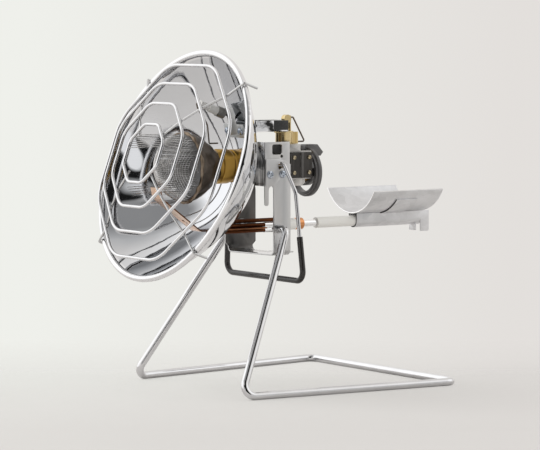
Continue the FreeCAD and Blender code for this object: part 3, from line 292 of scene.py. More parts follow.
def spread(tree, source, low, high, band=DRIFT):
    """Maps the band of a pattern onto a range."""
    start, end = band
    mapped = tree.nodes.new("ShaderNodeMapRange")
    mapped.inputs["From Min"].default_value = start
    mapped.inputs["From Max"].default_value = end
    mapped.inputs["To Min"].default_value = low
    mapped.inputs["To Max"].default_value = high
    tree.links.new(source, mapped.inputs["Value"])
    return mapped.outputs["Result"]


def vector_step(tree, operation, vector, fixed=(0, 0, 0)):
    """One step of reckoning with a vector and, where the step needs it, a fixed second one."""
    node = tree.nodes.new("ShaderNodeVectorMath")
    node.operation = operation
    node.inputs[1].default_value = fixed
    tree.links.new(vector, node.inputs[0])
    return node.outputs


def value_step(tree, operation, first, second):
    """One step of reckoning with two values."""
    node = tree.nodes.new("ShaderNodeMath")
    node.operation = operation
    tree.links.new(first, node.inputs[0])
    tree.links.new(second, node.inputs[1])
    return node.outputs["Value"]


def covered(tree, share, below):
    """Covers the colour below by a share from 0 to 1; the covering colour is the input B."""
    cover = tree.nodes.new("ShaderNodeMix")
    cover.data_type = "RGBA"
    tree.links.new(share, cover.inputs["Factor"])
    tree.links.new(below, cover.inputs["A"])
    return cover


def shown(tree, share, first, second, output):
    """Shows the first shader where the share is 0 and the second where it is 1."""
    blend = tree.nodes.new("ShaderNodeMixShader")
    tree.links.new(share, blend.inputs["Fac"])
    tree.links.new(first, blend.inputs[1])
    tree.links.new(second, blend.inputs[2])
    tree.links.new(blend.outputs["Shader"], tree.nodes[output].inputs["Surface"])


def relief(tree, shader, source, strength):
    bump = tree.nodes.new("ShaderNodeBump")
    bump.inputs["Strength"].default_value = strength
    bump.inputs["Distance"].default_value = RELIEF_DEPTH
    tree.links.new(source, bump.inputs["Height"])
    tree.links.new(bump.outputs["Normal"], shader.inputs["Normal"])


def toned(name, dark, light, rough, grain, stretch=EVEN, metallic=1.0, bump=0.0, band=DRIFT,
          gloss=PLAIN_GLOSS):
    """A finish whose tone drifts from dark to light and whose roughness drifts over a range."""
    material, tree, shader = finish_of(name)
    vector = placed_pattern(tree, stretch)
    drift = noise(tree, vector, grain)
    tree.links.new(tones(tree, drift, dark, light, band), shader.inputs["Base Color"])
    tree.links.new(spread(tree, drift, *rough), shader.inputs["Roughness"])
    shader.inputs["Metallic"].default_value = metallic
    shader.inputs["IOR"].default_value = gloss
    if bump:
        relief(tree, shader, noise(tree, vector, grain * RELIEF_GRAIN), bump)
    return material


# Mirror dish: a bowl, a little grey, inside a brighter bead that starts so many metres from the axis

DISH_MIDDLE, DISH_AXIS = (0, -0.1422, 0.241), (0, -0.9397, 0.3420)
BEAD_START = (0.1217, 0.1222)
BOWL_DARK, BOWL_LIGHT = (0.655, 0.665, 0.685), (0.715, 0.725, 0.745)
BEAD_TONE = (0.82, 0.82, 0.83, 1)
BOWL_GRAIN, BOWL_ROUGH = 14, (0.02, 0.05)


def dish_polish():
    material, tree, shader = finish_of("dish_mirror")
    where = placed_pattern(tree)
    drift = noise(tree, where, BOWL_GRAIN)
    from_middle = vector_step(tree, "SUBTRACT", where, DISH_MIDDLE)["Vector"]
    off_axis = vector_step(tree, "CROSS_PRODUCT", from_middle, DISH_AXIS)["Vector"]
    radius = vector_step(tree, "LENGTH", off_axis)["Value"]
    in_bead = spread(tree, radius, 0.0, 1.0, BEAD_START)
    two_tone = covered(tree, in_bead, tones(tree, drift, BOWL_DARK, BOWL_LIGHT))
    two_tone.inputs["B"].default_value = BEAD_TONE
    tree.links.new(two_tone.outputs["Result"], shader.inputs["Base Color"])
    tree.links.new(spread(tree, drift, *BOWL_ROUGH), shader.inputs["Roughness"])
    shader.inputs["Metallic"].default_value = 1.0
    return material


# Galvanised sheet: crystals of differing tone with a soft cloud over them

CRYSTAL_SCALE, CRYSTAL_STRETCH, CRYSTAL_WEIGHT = 170, (1, 0.7, 1), 0.22
CLOUD_GRAIN, CLOUD_BAND = 45, (0.35, 0.85)
ZINC_SHINE = 0.7


def spangled(name, dark, light, rough):
    material, tree, shader = finish_of(name)
    vector = placed_pattern(tree, CRYSTAL_STRETCH)
    crystals = tree.nodes.new("ShaderNodeTexVoronoi")
    crystals.inputs["Scale"].default_value = CRYSTAL_SCALE
    tree.links.new(vector, crystals.inputs["Vector"])
    crystal_tone = tree.nodes.new("ShaderNodeSeparateColor")
    tree.links.new(crystals.outputs["Color"], crystal_tone.inputs["Color"])
    weighed = tree.nodes.new("ShaderNodeMath")
    weighed.operation = "MULTIPLY_ADD"
    weighed.inputs[1].default_value = CRYSTAL_WEIGHT
    tree.links.new(crystal_tone.outputs["Red"], weighed.inputs[0])
    tree.links.new(noise(tree, vector, CLOUD_GRAIN), weighed.inputs[2])
    spangle = weighed.outputs["Value"]
    tree.links.new(tones(tree, spangle, dark, light, CLOUD_BAND), shader.inputs["Base Color"])
    tree.links.new(spread(tree, spangle, *rough, CLOUD_BAND), shader.inputs["Roughness"])
    shader.inputs["Metallic"].default_value = ZINC_SHINE
    return material


# Finishes of wire, sheet and cast pieces

dish_mirror = dish_polish()
galvanised = spangled("galvanised", (0.60, 0.60, 0.605), (0.80, 0.80, 0.81), (0.28, 0.44))
bright_chrome = toned("bright_chrome", (0.72, 0.72, 0.73), (0.78, 0.78, 0.79), (0.05, 0.10), 60)
spoke_chrome = toned("spoke_chrome", (0.55, 0.55, 0.55), (0.66, 0.66, 0.66), (0.10, 0.18), 80)
zinc_sheet = toned("zinc_sheet", (0.54, 0.54, 0.538), (0.61, 0.61, 0.607), (0.28, 0.38), 90,
                   stretch=(1, 1, 0.12), bump=0.04)
zinc_edge = toned("zinc_edge", (0.72, 0.72, 0.72), (0.80, 0.80, 0.80), (0.18, 0.28), 200)
bright_sheet = toned("bright_sheet", (0.74, 0.74, 0.75), (0.82, 0.82, 0.83), (0.08, 0.14), 70)
# Painted shade: dark zinc for the leg straps' inner faces
painted_shade_zinc = toned("painted_shade_zinc", (0.10, 0.096, 0.093), (0.18, 0.176, 0.172), (0.30, 0.42), 26)
# Painted reflection: black and white patches for the igniter tray's mirror-polished outer cheek
painted_reflection_cheek = toned("painted_reflection_cheek", (0.03, 0.03, 0.03), (0.86, 0.86, 0.87), (0.06, 0.10), 60,
                     stretch=(1, 1, 1.5), band=(0.48, 0.60))
# Painted reflection: light and dark vertical streaks for the valve bracket's front plate
painted_reflection_zinc = toned("painted_reflection_zinc", (0.16, 0.16, 0.16), (0.92, 0.92, 0.92), (0.16, 0.24), 190,
                      stretch=(1, 1, 0.04), band=(0.42, 0.58))
blue_zinc = toned("blue_zinc", (0.46, 0.51, 0.58), (0.60, 0.65, 0.72), (0.16, 0.28), 400)
pale_zinc = toned("pale_zinc", (0.60, 0.615, 0.615), (0.70, 0.715, 0.715), (0.28, 0.38), 120,
                  metallic=0.45)
cast_zinc = toned("cast_zinc", (0.50, 0.49, 0.47), (0.58, 0.57, 0.55), (0.36, 0.5), 350,
                  metallic=0.8, bump=0.2)
cut_edge = toned("cut_edge", (0.92, 0.92, 0.92), (0.97, 0.97, 0.97), (0.14, 0.22), 300)
pale_tube = toned("pale_tube", (0.80, 0.79, 0.75), (0.86, 0.85, 0.81), (0.36, 0.46), 50,
                  stretch=(1, 0.05, 1), metallic=0.05)
plug_grey = toned("plug_grey", (0.76, 0.745, 0.715), (0.84, 0.825, 0.80), (0.26, 0.36), 90, metallic=0.3)
boot_grey = toned("boot_grey", (0.16, 0.155, 0.145), (0.30, 0.29, 0.275), (0.30, 0.42), 180,
                  metallic=0.6)
link_grey = toned("link_grey", (0.13, 0.105, 0.085), (0.20, 0.165, 0.135), (0.26, 0.36), 300)
# Painted shade: a near-black finish for faces that lie in shadow, inside the valve bracket, on the
# governor's front and at the sleeve's front end
painted_shade_finish = toned("painted_shade_finish", (0.030, 0.029, 0.028), (0.050, 0.048, 0.046), (0.55, 0.70), 120,
                    metallic=0.3)

# Finishes of brass, copper and burnt steel

satin_brass = toned("satin_brass", (0.40, 0.228, 0.044), (0.50, 0.300, 0.070), (0.27, 0.34), 60,
                    stretch=(0.3, 1, 0.3))
pale_brass = toned("pale_brass", (0.44, 0.31, 0.11), (0.84, 0.70, 0.42), (0.15, 0.22), 130,
                   stretch=(1, 1, 0.08))
screw_brass = toned("screw_brass", (0.48, 0.40, 0.26), (0.66, 0.58, 0.42), (0.20, 0.30), 400)
copper_bright = toned("copper_bright", (0.84, 0.55, 0.39), (0.95, 0.74, 0.58), (0.24, 0.36), 60,
                      metallic=0.75)
copper_edge = toned("copper_edge", (0.20, 0.08, 0.035), (0.34, 0.15, 0.07), (0.32, 0.42), 120)
copper_dark = toned("copper_dark", (0.070, 0.023, 0.009), (0.17, 0.058, 0.022), (0.36, 0.46), 110,
                    stretch=(1, 0.2, 1))
copper_orange = toned("copper_orange", (0.62, 0.26, 0.10), (0.78, 0.38, 0.18), (0.16, 0.26), 160)
burnt_mesh = toned("burnt_mesh", (0.58, 0.575, 0.57), (0.84, 0.83, 0.82), (0.22, 0.34), 90, metallic=0.9)
burnt_cup = toned("burnt_cup", (0.085, 0.068, 0.052), (0.22, 0.18, 0.145), (0.34, 0.50), 70,
                  metallic=0.7, bump=0.2)
burnt_rim = toned("burnt_rim", (0.15, 0.110, 0.076), (0.40, 0.315, 0.235), (0.30, 0.45), 90,
                  metallic=0.8, bump=0.2)
mesh_shadow = toned("mesh_shadow", (0.13, 0.127, 0.125), (0.21, 0.207, 0.205), (0.36, 0.5), 60,
                    metallic=0.5)

# Finishes of paint, plastic, rubber and ceramic

dark_paint = toned("dark_paint", (0.026, 0.023, 0.020), (0.038, 0.034, 0.030), (0.30, 0.40), 500,
                   metallic=0.2, bump=0.06)
ridge_paint = toned("ridge_paint", (0.085, 0.081, 0.077), (0.12, 0.115, 0.11), (0.30, 0.40), 300,
                    metallic=0.5)
pale_edge = toned("pale_edge", (0.66, 0.645, 0.62), (0.78, 0.765, 0.74), (0.25, 0.35), 300, metallic=0.1)
black_moulding = toned("black_moulding", (0.043, 0.041, 0.041), (0.066, 0.063, 0.063), (0.28, 0.38), 900,
                       metallic=0.0, bump=0.06, gloss=1.8)
igniter_black = toned("igniter_black", (0.012, 0.012, 0.012), (0.020, 0.020, 0.020), (0.24, 0.34), 700,
                      metallic=0.0, bump=0.05)
sleeve_rubber = toned("sleeve_rubber", (0.014, 0.012, 0.011), (0.022, 0.019, 0.017), (0.14, 0.20), 300,
                      metallic=0.0, bump=0.03, gloss=1.55)
seal_rubber = toned("seal_rubber", (0.02, 0.02, 0.02), (0.035, 0.035, 0.035), (0.5, 0.65), 300,
                    metallic=0.0)
glazed_ceramic = toned("glazed_ceramic", (0.78, 0.77, 0.74), (0.86, 0.85, 0.82), (0.12, 0.22), 120,
                       metallic=0.0)


# Pieces that keep the shape of their solids

NODE_FINISHES = [
    (dish_mirror, ["reflector_dish"]),
    (bright_chrome, ["guard_ring_inner", "guard_ring_second", "guard_ring_third", "guard_ring_outer",
                     "stand_rod_frame", "bail_wire"]),
    (spoke_chrome, ["guard_spokes"]),
    (sleeve_rubber, ["bail_grip"]),
    (mesh_shadow, ["burner_mesh_dome"]),
    (zinc_sheet, ["dish_spacer_ring", "pivot_caps"]),
    (satin_brass, ["neck_nut", "gas_jet", "outlet_pipe", "inlet_coupling", "knob_spindle"]),
    (seal_rubber, ["diaphragm", "inlet_seal", "igniter_lead"]),
    (plug_grey, ["governor_plug"]),
    (pale_brass, ["valve_post"]),
    (link_grey, ["link_wire"]),
    (boot_grey, ["electrode_collar"]),
    (glazed_ceramic, ["electrode_insulator"]),
    (burnt_cup, ["electrode_wire"]),
    (igniter_black, ["igniter_button"]),
    (copper_dark, ["copper_rods"]),
    (cut_edge, ["rod_ferrules", "inner_rod"]),
    (copper_orange, ["copper_collar"]),
    (pale_tube, ["booster_tube"]),
]
for finish, names in NODE_FINISHES:
    for name in names:
        mesh = nodes[name].data
        mesh.materials.clear()
        mesh.materials.append(finish)


# Sheet and block pieces: copies of the solids with their edges broken

CORNER_REACH, CORNER_STEPS = 0.6 * MM, 6
EDGE_SLOT = 1
SHEET_EDGE, THIN_EDGE, CRADLE_EDGE = 0.25, 0.2, 0.3
CASE_EDGE, COVER_EDGE, BLOCK_EDGE, WHEEL_EDGE, LATCH_EDGE = 0.6, 1.2, 0.4, 0.5, 0.3
SQUARE_ON, LEANING = 0.9, 0.5


def along_x(first, second):
    return abs(first.y - second.y) < TOUCHING and abs(first.z - second.z) < TOUCHING


def near(point, y, z):
    return abs(point.y - y * MM) < CORNER_REACH and abs(point.z - z * MM) < CORNER_REACH


def round_corners(piece, places, radius):
    """Rounds the corners that run along X at places (y, z)."""
    edit(piece)
    pick_edges(piece, lambda a, b: along_x(a, b) and any(near(a, y, z) for y, z in places))
    bpy.ops.mesh.bevel(offset=radius * MM, segments=CORNER_STEPS, affect="EDGES")
    done()


def broken(node, width, finish, edge_finish, body, corners=()):
    """A node's copy with rounded corners and edges broken to a width, which stands for the node."""
    piece = bare_copy(node, f"{node}_sheet")
    piece.data.materials.clear()
    piece.data.materials.append(finish)
    piece.data.materials.append(edge_finish)
    for places, radius in corners:
        round_corners(piece, places, radius)
    soften(piece, width, EDGE_SLOT)
    return dressed(piece, None, body, [node])


def painted(piece, finish, wanted):
    """Gives the faces that pass a test a finish of their own."""
    piece.data.materials.append(finish)
    edit(piece, "FACE")
    pick_faces(piece, wanted)
    piece.active_material_index = len(piece.data.materials) - 1
    bpy.ops.object.material_slot_assign()
    done()


def turned_in(middle, normal, least):
    """Whether a face at least so far from the middle plane is turned towards it."""
    return middle.x * normal.x < -least * MM


# Valve bracket: a window with round corners, a hanging tongue, painted reflection streaks on the front
# and painted shade on the inside

WINDOW_CORNERS = [(y, z) for y in (-39.5, -26.5) for z in (250.5, 261.5)]
WINDOW_RADIUS = 2.2
TONGUE_TIP, TIP_RADIUS = [(-49, 196), (-44, 196)], 2.3
TONGUE_ROOT, ROOT_RADIUS = [(-44, 217)], 4.5
INSIDE_X, INSIDE_LEAST = 34.8, 10
FRONT_PLATE_Y = -48
bracket = broken("valve_bracket", SHEET_EDGE, zinc_sheet, zinc_edge, "head",
                 [(WINDOW_CORNERS, WINDOW_RADIUS), (TONGUE_TIP, TIP_RADIUS), (TONGUE_ROOT, ROOT_RADIUS)])
painted(bracket, painted_shade_finish,
        lambda middle, normal: abs(middle.x) < INSIDE_X * MM and turned_in(middle, normal, INSIDE_LEAST))
# Painted reflection streaks on the front plate
painted(bracket, painted_reflection_zinc,
        lambda middle, normal: normal.y < -SQUARE_ON and middle.y < FRONT_PLATE_Y * MM)

# Leg bracket: two straps with painted shade on their inner faces, and a painted highlight on the upward
# faces of its floor

STRAP_SHOULDER, SHOULDER_RADIUS = [(-38.5, 217)], 3
STRAP_FRONT, FRONT_RADIUS = [(-48.5, 217), (-48.5, 246)], 1
STRAP_LEAST = 20
BRACKET_FLOOR_Z = 146
legs = broken("leg_bracket", SHEET_EDGE, zinc_sheet, zinc_edge, "head",
              [(STRAP_SHOULDER, SHOULDER_RADIUS), (STRAP_FRONT, FRONT_RADIUS)])

# Oval holes round the bail's ends, through both brackets

BAIL_END = (0, -29.5, 238.3)
HOLE_WIDE, HOLE_HIGH = 3.2, 4.4
HOLE_REACH = 45
UNIT_ROD = [(0, 0), (0, 1), (2 * HOLE_REACH, 1), (2 * HOLE_REACH, 0)]
for plate in (bracket, legs):
    bail_hole = lathe("bail_hole", UNIT_ROD, (-HOLE_REACH, 0, 0), ALONG_X, SMALL_STEPS)
    bail_hole.scale = (1, HOLE_WIDE, HOLE_HIGH)
    bail_hole.location = Vector(BAIL_END) * MM
    settle(bail_hole)
    carve(plate, bail_hole)
    smooth(plate)
# Painted shade on the straps' inner faces
painted(legs, painted_shade_zinc, lambda middle, normal: turned_in(middle, normal, STRAP_LEAST))
# Painted highlight: the floor's upward faces get the brighter sheet finish
painted(legs, bright_sheet,
        lambda middle, normal: normal.z > SQUARE_ON and middle.z < BRACKET_FLOOR_Z * MM)

# Igniter tray and electrode plate

tray = broken("igniter_bracket", THIN_EDGE, bright_sheet, zinc_edge, "head")
# Painted reflection on the tray's outer cheek
painted(tray, painted_reflection_cheek, lambda middle, normal: normal.x > SQUARE_ON)
broken("electrode_plate", THIN_EDGE, pale_zinc, zinc_edge, "head")
broken("electrode_arm", THIN_EDGE, pale_zinc, zinc_edge, "head")

# Governor, valve and igniter box

COVER_CORNERS = [(y, z) for y in (-4.5, 23.5) for z in (223.5, 251.5)]
COVER_RADIUS = 3
RIDGE_X = 22.4
governor = broken("governor_body", CASE_EDGE, cast_zinc, cast_zinc, "head")
# Painted shade on the governor's front faces, which look into the bracket
painted(governor, painted_shade_finish, lambda middle, normal: normal.y < -SQUARE_ON)
cover = broken("governor_cover", COVER_EDGE, dark_paint, pale_edge, "head",
               [(COVER_CORNERS, COVER_RADIUS)])
painted(cover, ridge_paint, lambda middle, normal: middle.x > RIDGE_X * MM)
broken("valve_body", BLOCK_EDGE, pale_brass, pale_brass, "head")
broken("igniter_body", CASE_EDGE, igniter_black, igniter_black, "head")

# Cartridge cradle: bright cut edges on the trough and painted shade on the sleeve's front end, where its
# hollow lies in shadow

HOOK_CORNER, HOOK_RADIUS = [(196.35, 157.4)], 1.5
SLEEVE_FRONT_Y = 150
trough = broken("cradle_trough", CRADLE_EDGE, galvanised, cut_edge, "cradle")
painted(trough, cut_edge, lambda middle, normal: normal.y < -LEANING)
sleeve = broken("cradle_sleeve", CRADLE_EDGE, galvanised, zinc_edge, "cradle",
                [(HOOK_CORNER, HOOK_RADIUS)])
painted(sleeve, painted_shade_finish,
        lambda middle, normal: normal.y < -LEANING and middle.y < SLEEVE_FRONT_Y * MM)

# Copper strip: bright in the flame, dark behind it and along its edges

STRIP_DARK_Y = -100
strip = broken("copper_strip", SHEET_EDGE, copper_bright, copper_edge, "head")
painted(strip, copper_dark, lambda middle, normal: middle.y > STRIP_DARK_Y * MM)
painted(strip, copper_edge, lambda middle, normal: abs(normal.x) > SQUARE_ON)

# Rod socket, wheel, knob and latch

broken("rod_socket", BLOCK_EDGE, pale_tube, pale_tube, "head")
broken("coupling_wheel", WHEEL_EDGE, black_moulding, black_moulding, "inlet_wheel")
broken("control_knob", BLOCK_EDGE, black_moulding, black_moulding, "gas_knob")
broken("latch_block", LATCH_EDGE, black_moulding, black_moulding, "head")


# Burner cup and its rolled flange: thin steel that heat has crumpled

CUP_OUTSIDE = [(0, 36.4), (2.5, 36.2), (5, 35.7), (7.7, 34.8), (10.5, 33.8), (13.2, 32.7), (15.8, 31.4),
               (18.6, 29.8), (21.5, 27.9), (24.4, 25.7), (27.3, 23.3), (30, 20.9), (32.2, 19.0),
               (34, 17.9), (35, 17.8)]
CUP_INSIDE = [(35, 16.7), (33.4, 16.8), (30, 19.4), (27.3, 21.8), (21.5, 26.4), (15.8, 29.9),
              (7.7, 33.3), (0, 34.9)]
CUP_OUTLINE = CUP_OUTSIDE + CUP_INSIDE + CUP_OUTSIDE[:1]
FLANGE_OUTLINE = [(0, 34), (0, 35.6), (0, 37.2), (0.4, 38.0), (1.2, 38.4), (2.0, 38.3), (2.7, 37.8),
                  (3, 37), (3, 35.5), (3, 34), (1.5, 34), (0, 34)]


def crumpled(name, outline, front, waves, depth, finish, node):
    """A turned shell on the burner's axis, dented to a depth by waves of a length."""
    shell = lathe(name, outline, (0, front, BURNER_Z), ALONG_Y, SHELL_STEPS)
    dents = shell.modifiers.new("dents", "DISPLACE")
    dents.texture = bpy.data.textures.new(f"{name}_waves", "CLOUDS")
    dents.texture.noise_scale = waves * MM
    dents.strength = depth * MM
    apply_modifiers(shell)
    smooth(shell, CRUMPLED_ANGLE)
    dressed(shell, finish, "head", [node])


crumpled("crumpled_cup", CUP_OUTLINE, front=-128, waves=12, depth=4.0, finish=burnt_cup,
         node="burner_cup")
crumpled("crumpled_flange", FLANGE_OUTLINE, front=-131, waves=9, depth=4.0, finish=burnt_rim,
         node="burner_flange_ring")


# Brass neck: a turned ring with rounded shoulders between two plain lands

NECK_FRONT_Y = -99
NECK_OUTSIDE = [(0, 13), (0, 16.5), (6.1, 16.5), (6.1, 17.8), (10.0, 17.8), (10.25, 17.35), (10.7, 17.35),
                (10.9, 18.0), (11.4, 18.5), (12.2, 18.7), (22.6, 18.7), (24.0, 18.55), (25.0, 18.15),
                (25.6, 17.6), (26, 16.7), (29, 16.7), (29.3, 17.3), (29.8, 17.7), (30.4, 17.8),
                (49.9, 17.8), (49.9, 9), (63.5, 9)]
NECK_INSIDE = [(63.5, 6.1), (54, 6.1), (54, 2.6), (42, 2.6), (40, 13), (0, 13)]
neck = lathe("turned_neck", NECK_OUTSIDE + NECK_INSIDE, (0, NECK_FRONT_Y, BURNER_Z), ALONG_Y, NECK_STEPS)
smooth(neck, TURNED_ANGLE)
dressed(neck, satin_brass, "head", ["burner_neck"])


# Burner weave: a square wire cloth, a little puckered, pressed over the dome

WEAVE_CELLS, WEAVE_SIZE, WEAVE_RADIUS = 36, 76, 35.2
WEAVE_START = (0, -180, BURNER_Z)
PUCKER_WAVES, PUCKER_DEPTH = 18, 5
WIRE_LIFT, WIRE_THICKNESS = 0.1, 0.8


def off_burner_axis(point):
    return math.hypot(point.x, point.z - BURNER_Z * MM)


def burner_weave():
    clear_selection()
    bpy.ops.mesh.primitive_grid_add(x_subdivisions=WEAVE_CELLS, y_subdivisions=WEAVE_CELLS,
                                    size=WEAVE_SIZE * MM, location=Vector(WEAVE_START) * MM,
                                    rotation=(math.pi / 2, 0, 0))
    weave = added("burner_weave")
    settle(weave)
    edit(weave, "FACE")
    pick_faces(weave, lambda middle, normal: off_burner_axis(middle) > WEAVE_RADIUS * MM)
    bpy.ops.mesh.delete(type="FACE")
    done()
    pucker = weave.modifiers.new("pucker", "DISPLACE")
    pucker.texture = bpy.data.textures.new("cloth_pucker", "CLOUDS")
    pucker.texture.noise_scale = PUCKER_WAVES * MM
    pucker.texture.cloud_type = "COLOR"
    pucker.direction = "RGB_TO_XYZ"
    pucker.strength = PUCKER_DEPTH * MM
    press = weave.modifiers.new("press", "SHRINKWRAP")
    press.target = nodes["burner_mesh_dome"]
    press.wrap_method = "PROJECT"
    press.use_project_y = True
    press.use_positive_direction = True
    press.use_negative_direction = False
    press.offset = WIRE_LIFT * MM
    wires = weave.modifiers.new("wires", "WIREFRAME")
    wires.thickness = WIRE_THICKNESS * MM
    wires.use_even_offset = False
    apply_modifiers(weave)
    smooth(weave, WIRE_ANGLE)
    dressed(weave, burnt_mesh, "head")


burner_weave()


# Screws with crossed slots

PAN_PROFILE = [(0.45, 1), (0.8, 0.82), (0.95, 0.5), (1, 0)]
SLOT_REACH = 0.62
CLEAR_OF_CROWN = 1


def crossed_screw(head, crown, shank, length, slot_width, slot_depth):
    """A pan head on +X with a crossed slot, its seat at the origin; head and shank are radii."""
    outline = [(-length, 0), (-length, shank), (0, shank), (0, head)]
    outline += [(crown * up, head * out) for up, out in PAN_PROFILE]
    screw = lathe("screw", outline, ORIGIN, ALONG_X, SMALL_STEPS)
    reach, half = head * SLOT_REACH, slot_width / 2
    bottom, top = crown - slot_depth, crown + CLEAR_OF_CROWN
    bar = block("slot_bar", (bottom, -reach, -half), (top, reach, half))
    cross = block("slot_cross", (bottom, -half, -reach), (top, half, reach))
    carve(screw, bar, cross)
    smooth(screw, TURNED_ANGLE)
    return screw


def screw_set(name, screw, places, finish, replaced):
    """Copies of one screw; places are (point in metres, turn of the screw's +X, spin in degrees)."""
    copies = []
    for point, turn, spin in places:
        place = Matrix.Translation(point) @ turn.to_4x4() @ Matrix.Rotation(math.radians(spin), 4, "X")
        copies.append(copied(screw, place))
    bpy.data.objects.remove(screw)
    dressed(joined(name, copies), finish, "head", replaced)


# Two screws in each side of the brackets
NEAR_SIDE = Matrix.Identity(3)
FAR_SIDE = Matrix.Rotation(math.pi, 3, "Z")
STRAP_SEAT_X, STRAP_SCREWS_Y, STRAP_SCREWS_Z = 37.52, (-43.3, -27.0), 229.5
NEAR_SPIN, FAR_SPIN = 20, 65
strap_places = []
for turn, side, spin in ((NEAR_SIDE, 1, NEAR_SPIN), (FAR_SIDE, -1, FAR_SPIN)):
    for y in STRAP_SCREWS_Y:
        seat = Vector((side * STRAP_SEAT_X, y, STRAP_SCREWS_Z)) * MM
        strap_places.append((seat, turn, spin + y))
strap_screw = crossed_screw(head=4, crown=2.58, shank=2, length=6.5, slot_width=1.1, slot_depth=1.2)
screw_set("bracket_screw_set", strap_screw, strap_places, blue_zinc, ["bracket_screws"])

# Four screws in the governor cover
COVER_SEAT_X, COVER_SCREWS_Y, COVER_SCREWS_Z = 22.02, (-0.5, 19.5), (229.3, 245.7)
COVER_SPIN = 5
cover_places = []
for y in COVER_SCREWS_Y:
    for z in COVER_SCREWS_Z:
        cover_places.append((Vector((COVER_SEAT_X, y, z)) * MM, NEAR_SIDE, COVER_SPIN * y))
cover_screw = crossed_screw(head=2.3, crown=1.58, shank=1.25, length=10, slot_width=0.9, slot_depth=0.9)
screw_set("cover_screw_set", cover_screw, cover_places, screw_brass, ["cover_screws"])

# Two screws through the dish wall, square to it
WALL_OUT, ACROSS_WALL = Vector((0, -0.962, -0.2731)), Vector(ALONG_X)
WALL_SCREWS_X, WALL_SEAT_Y, WALL_SEAT_Z = (-8, 16), -66.729, 275.602
WALL_SPIN, WALL_SPIN_STEP = 30, 3
to_wall = Matrix((WALL_OUT, ACROSS_WALL, WALL_OUT.cross(ACROSS_WALL))).transposed()
wall_places = []
for x in WALL_SCREWS_X:
    seat = Vector((x, WALL_SEAT_Y, WALL_SEAT_Z)) * MM
    wall_places.append((seat, to_wall, WALL_SPIN + WALL_SPIN_STEP * x))
wall_screw = crossed_screw(head=4, crown=2.58, shank=2, length=11.1, slot_width=1.1, slot_depth=1.2)
screw_set("electrode_screw_set", wall_screw, wall_places, blue_zinc, ["electrode_screws"])


# Studio floor: pale, and clearer towards the far side and the rim, where it fades into the backdrop

VIEW_RIGHT = Vector((0.5754, 0.8179, 0)).normalized()
VIEW_BACK = Vector((0.8157, -0.5739, 0.0736)).normalized()
FLOOR_SIZE = 8
FLOOR_DARK, FLOOR_LIGHT, FLOOR_GRAIN = (0.715, 0.695, 0.675), (0.73, 0.71, 0.69), 3
FLOOR_ROUGH, FLOOR_SHEEN = 0.7, 0.2
FAR_CLEAR, NEAR_CLEAR, FAR_TO_NEAR = 1.0, 0.20, (-0.40, 0.38)
RIM_FADE = (0.5, 1.2)


def studio_floor():
    clear_selection()
    bpy.ops.mesh.primitive_plane_add(size=FLOOR_SIZE, location=ORIGIN)
    floor = added("studio_floor")
    material, tree, shader = finish_of("floor_paint")
    shader.inputs["Roughness"].default_value = FLOOR_ROUGH
    shader.inputs["Specular IOR Level"].default_value = FLOOR_SHEEN
    where = placed_pattern(tree)
    paint = tones(tree, noise(tree, where, FLOOR_GRAIN), FLOOR_DARK, FLOOR_LIGHT)
    tree.links.new(paint, shader.inputs["Base Color"])
    nearness = vector_step(tree, "DOT_PRODUCT", where, (VIEW_BACK.x, VIEW_BACK.y, 0))["Value"]
    far_fade = spread(tree, nearness, FAR_CLEAR, NEAR_CLEAR, FAR_TO_NEAR)
    in_view = tree.nodes.new("ShaderNodeLightPath").outputs["Is Camera Ray"]
    seen_fade = value_step(tree, "MULTIPLY", far_fade, in_view)
    rim_fade = spread(tree, vector_step(tree, "LENGTH", where)["Value"], 0.0, 1.0, RIM_FADE)
    fade = value_step(tree, "MAXIMUM", seen_fade, rim_fade)
    clear = tree.nodes.new("ShaderNodeBsdfTransparent")
    shown(tree, fade, shader.outputs["BSDF"], clear.outputs["BSDF"], "Material Output")
    floor.data.materials.append(material)


studio_floor()


# Studio room: a pale backdrop in view, plain light all round, and walls that polished metal shows

BACKDROP = (0.815, 0.790, 0.765, 1)
PALE_SIDE, GREY_SIDE, SIDE_BAND = (0.863, 0.871, 0.830), (0.767, 0.740, 0.715), (-0.085, 0.085)
ROOM_LIGHT, ROOM_STRENGTH = (1.0, 0.985, 0.97, 1), 0.68
FACING_BAND = (0.0, 0.05)

# Azimuth, elevation, half width and half height in degrees, softness of the edge and tone
ROOM_PANELS = {
    "left_soft_box": (-140, 30, 46, 34, 0.35, 1.35),
    "right_soft_box": (60, 32, 24, 20, 0.4, 1.25),
    "grey_side_wall": (20, 6, 22, 15, 0.4, 0.62),
    "grey_ceiling": (-100, 80, 16, 11, 0.5, 0.58),
    "dim_ceiling": (-58, 66, 32, 18, 0.3, 0.32),
    "dark_behind_camera": (-28, 24, 36, 32, 0.03, 0.012),
    "bright_strip": (-49, 10, 4, 16, 0.1, 1.0),
    "lamp_glow": (-50, 40, 4.5, 4.5, 0.9, 0.9),
}

world = bpy.data.worlds.new("studio")
bpy.context.scene.world = world
world.use_nodes = True
sky = world.node_tree
heading = sky.nodes.new("ShaderNodeTexCoord").outputs["Generated"]


def lean(axis, reach=1):
    """How far a heading leans along an axis, where 1 is the reach."""
    return vector_step(sky, "DOT_PRODUCT", heading, axis / reach)["Value"]


